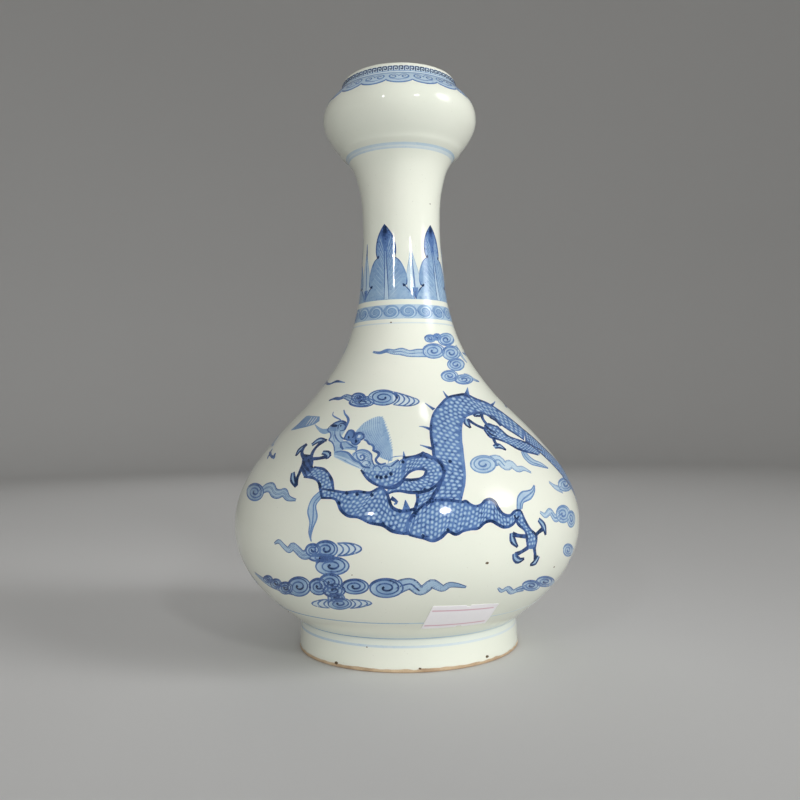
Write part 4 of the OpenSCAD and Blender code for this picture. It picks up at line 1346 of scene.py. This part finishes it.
for place in RULES:
    rule = (1 - abs((at_down - place) * RULE_SHARP)).clip()
    colour = (rule * ends * RULE_SHARE).mix(colour, RULE_PINK)
fibres = shade.mottle(FIBRES).bump(FIBRE_STRENGTH, FIBRE_DEPTH)
surface(shade, {"Base Color": colour, "Roughness": PAPER_ROUGHNESS, "Normal": fibres})
piece(bm, "label_sticker", made, "label_paper", "paper_label")

# Floor and light
# A pale seamless floor that rises all round, a key light to the right of the camera, a small one to its left,
# one like a window further round, a small one overhead, soft fills on three sides, and an even sky.
FLOOR_R = 1.3
SWEEP_R = 0.5
WALL_Z = 1.5
SWEEP_POINTS, SWEEP_STEPS = 12, 96
FLOOR_GREY = (0.66, 0.66, 0.655, 1.0)
FLOOR_ROUGHNESS = 0.9
SKY, SKY_STRENGTH = (1.0, 0.985, 0.955, 1.0), 0.32
LAMP_AIM, LAMP_SPREAD = 0.12, 80

profile = [(0.0, 0.0), (FLOOR_R, 0.0)]
profile += [(FLOOR_R + SWEEP_R * math.sin(a), SWEEP_R - SWEEP_R * math.cos(a))
            for a in np.linspace(0, math.pi / 2, SWEEP_POINTS)[1:]]
profile.append((FLOOR_R + SWEEP_R, WALL_Z))
bm = bmesh.new()
verts = [bm.verts.new((r, 0.0, z)) for r, z in profile]
edges = [bm.edges.new(pair) for pair in zip(verts, verts[1:])]
bmesh.ops.spin(bm, geom=verts + edges, cent=(0, 0, 0), axis=(0, 0, 1), angle=2 * math.pi, steps=SWEEP_STEPS,
               use_merge=True)
bmesh.ops.remove_doubles(bm, verts=bm.verts[:], dist=MERGE)
for face in bm.faces:
    face.smooth = True
mesh = bpy.data.meshes.new("floor")
bm.to_mesh(mesh)
bm.free()
made, shade = material("floor_paper")
surface(shade, {"Base Color": FLOOR_GREY, "Roughness": FLOOR_ROUGHNESS})
mesh.materials.append(made)
floor = bpy.data.objects.new("floor", mesh)
bpy.context.scene.collection.objects.link(floor)


def lamp(name, turn, rise, distance, size, watts, aim=LAMP_AIM, spread=LAMP_SPREAD, glints=True):
    """A soft light at a turn to the right and a rise, which faces the axis at the height of its aim."""
    middle = Vector((0.0, 0.0, aim))
    a, b = math.radians(turn), math.radians(rise)
    away = Vector((math.sin(a) * math.cos(b), -math.cos(a) * math.cos(b), math.sin(b)))
    light = bpy.data.lights.new(name, "AREA")
    light.shape = "ELLIPSE"
    light.size, light.size_y = size
    light.energy = watts
    light.spread = math.radians(spread)
    made = bpy.data.objects.new(name, light)
    turned_in = away.to_track_quat("Z", "Y").to_matrix().to_4x4()
    made.matrix_world = Matrix.Translation(middle + away * distance) @ turned_in
    made.visible_camera = False
    made.visible_glossy = glints
    bpy.context.scene.collection.objects.link(made)


lamp("key_light", turn=25, rise=27, distance=1.0, size=(0.09, 0.11), watts=0.038, aim=0.065, spread=30)
lamp("side_light", turn=-23.5, rise=22, distance=1.0, size=(0.05, 0.05), watts=0.10)
lamp("window_light", turn=68, rise=25, distance=0.7, size=(0.30, 0.36), watts=0.072, aim=0.20, spread=32)
lamp("right_light", turn=66, rise=18, distance=1.4, size=(0.60, 0.74), watts=1.6, aim=0.08, glints=False)
lamp("fill_light", turn=3, rise=3, distance=1.3, size=(0.9, 0.5), watts=2.2, aim=0.05, glints=False)
lamp("back_light", turn=190, rise=28, distance=1.3, size=(0.9, 0.7), watts=0.9, aim=0.10,
     spread=120, glints=False)
lamp("ceiling_light", turn=92, rise=80, distance=1.4, size=(0.06, 0.14), watts=0.03)
world = bpy.data.worlds.new("sky")
world.use_nodes = True
world.node_tree.nodes["Background"].inputs["Color"].default_value = SKY
world.node_tree.nodes["Background"].inputs["Strength"].default_value = SKY_STRENGTH
bpy.context.scene.world = world
bpy.context.scene.view_settings.view_transform = "Standard"
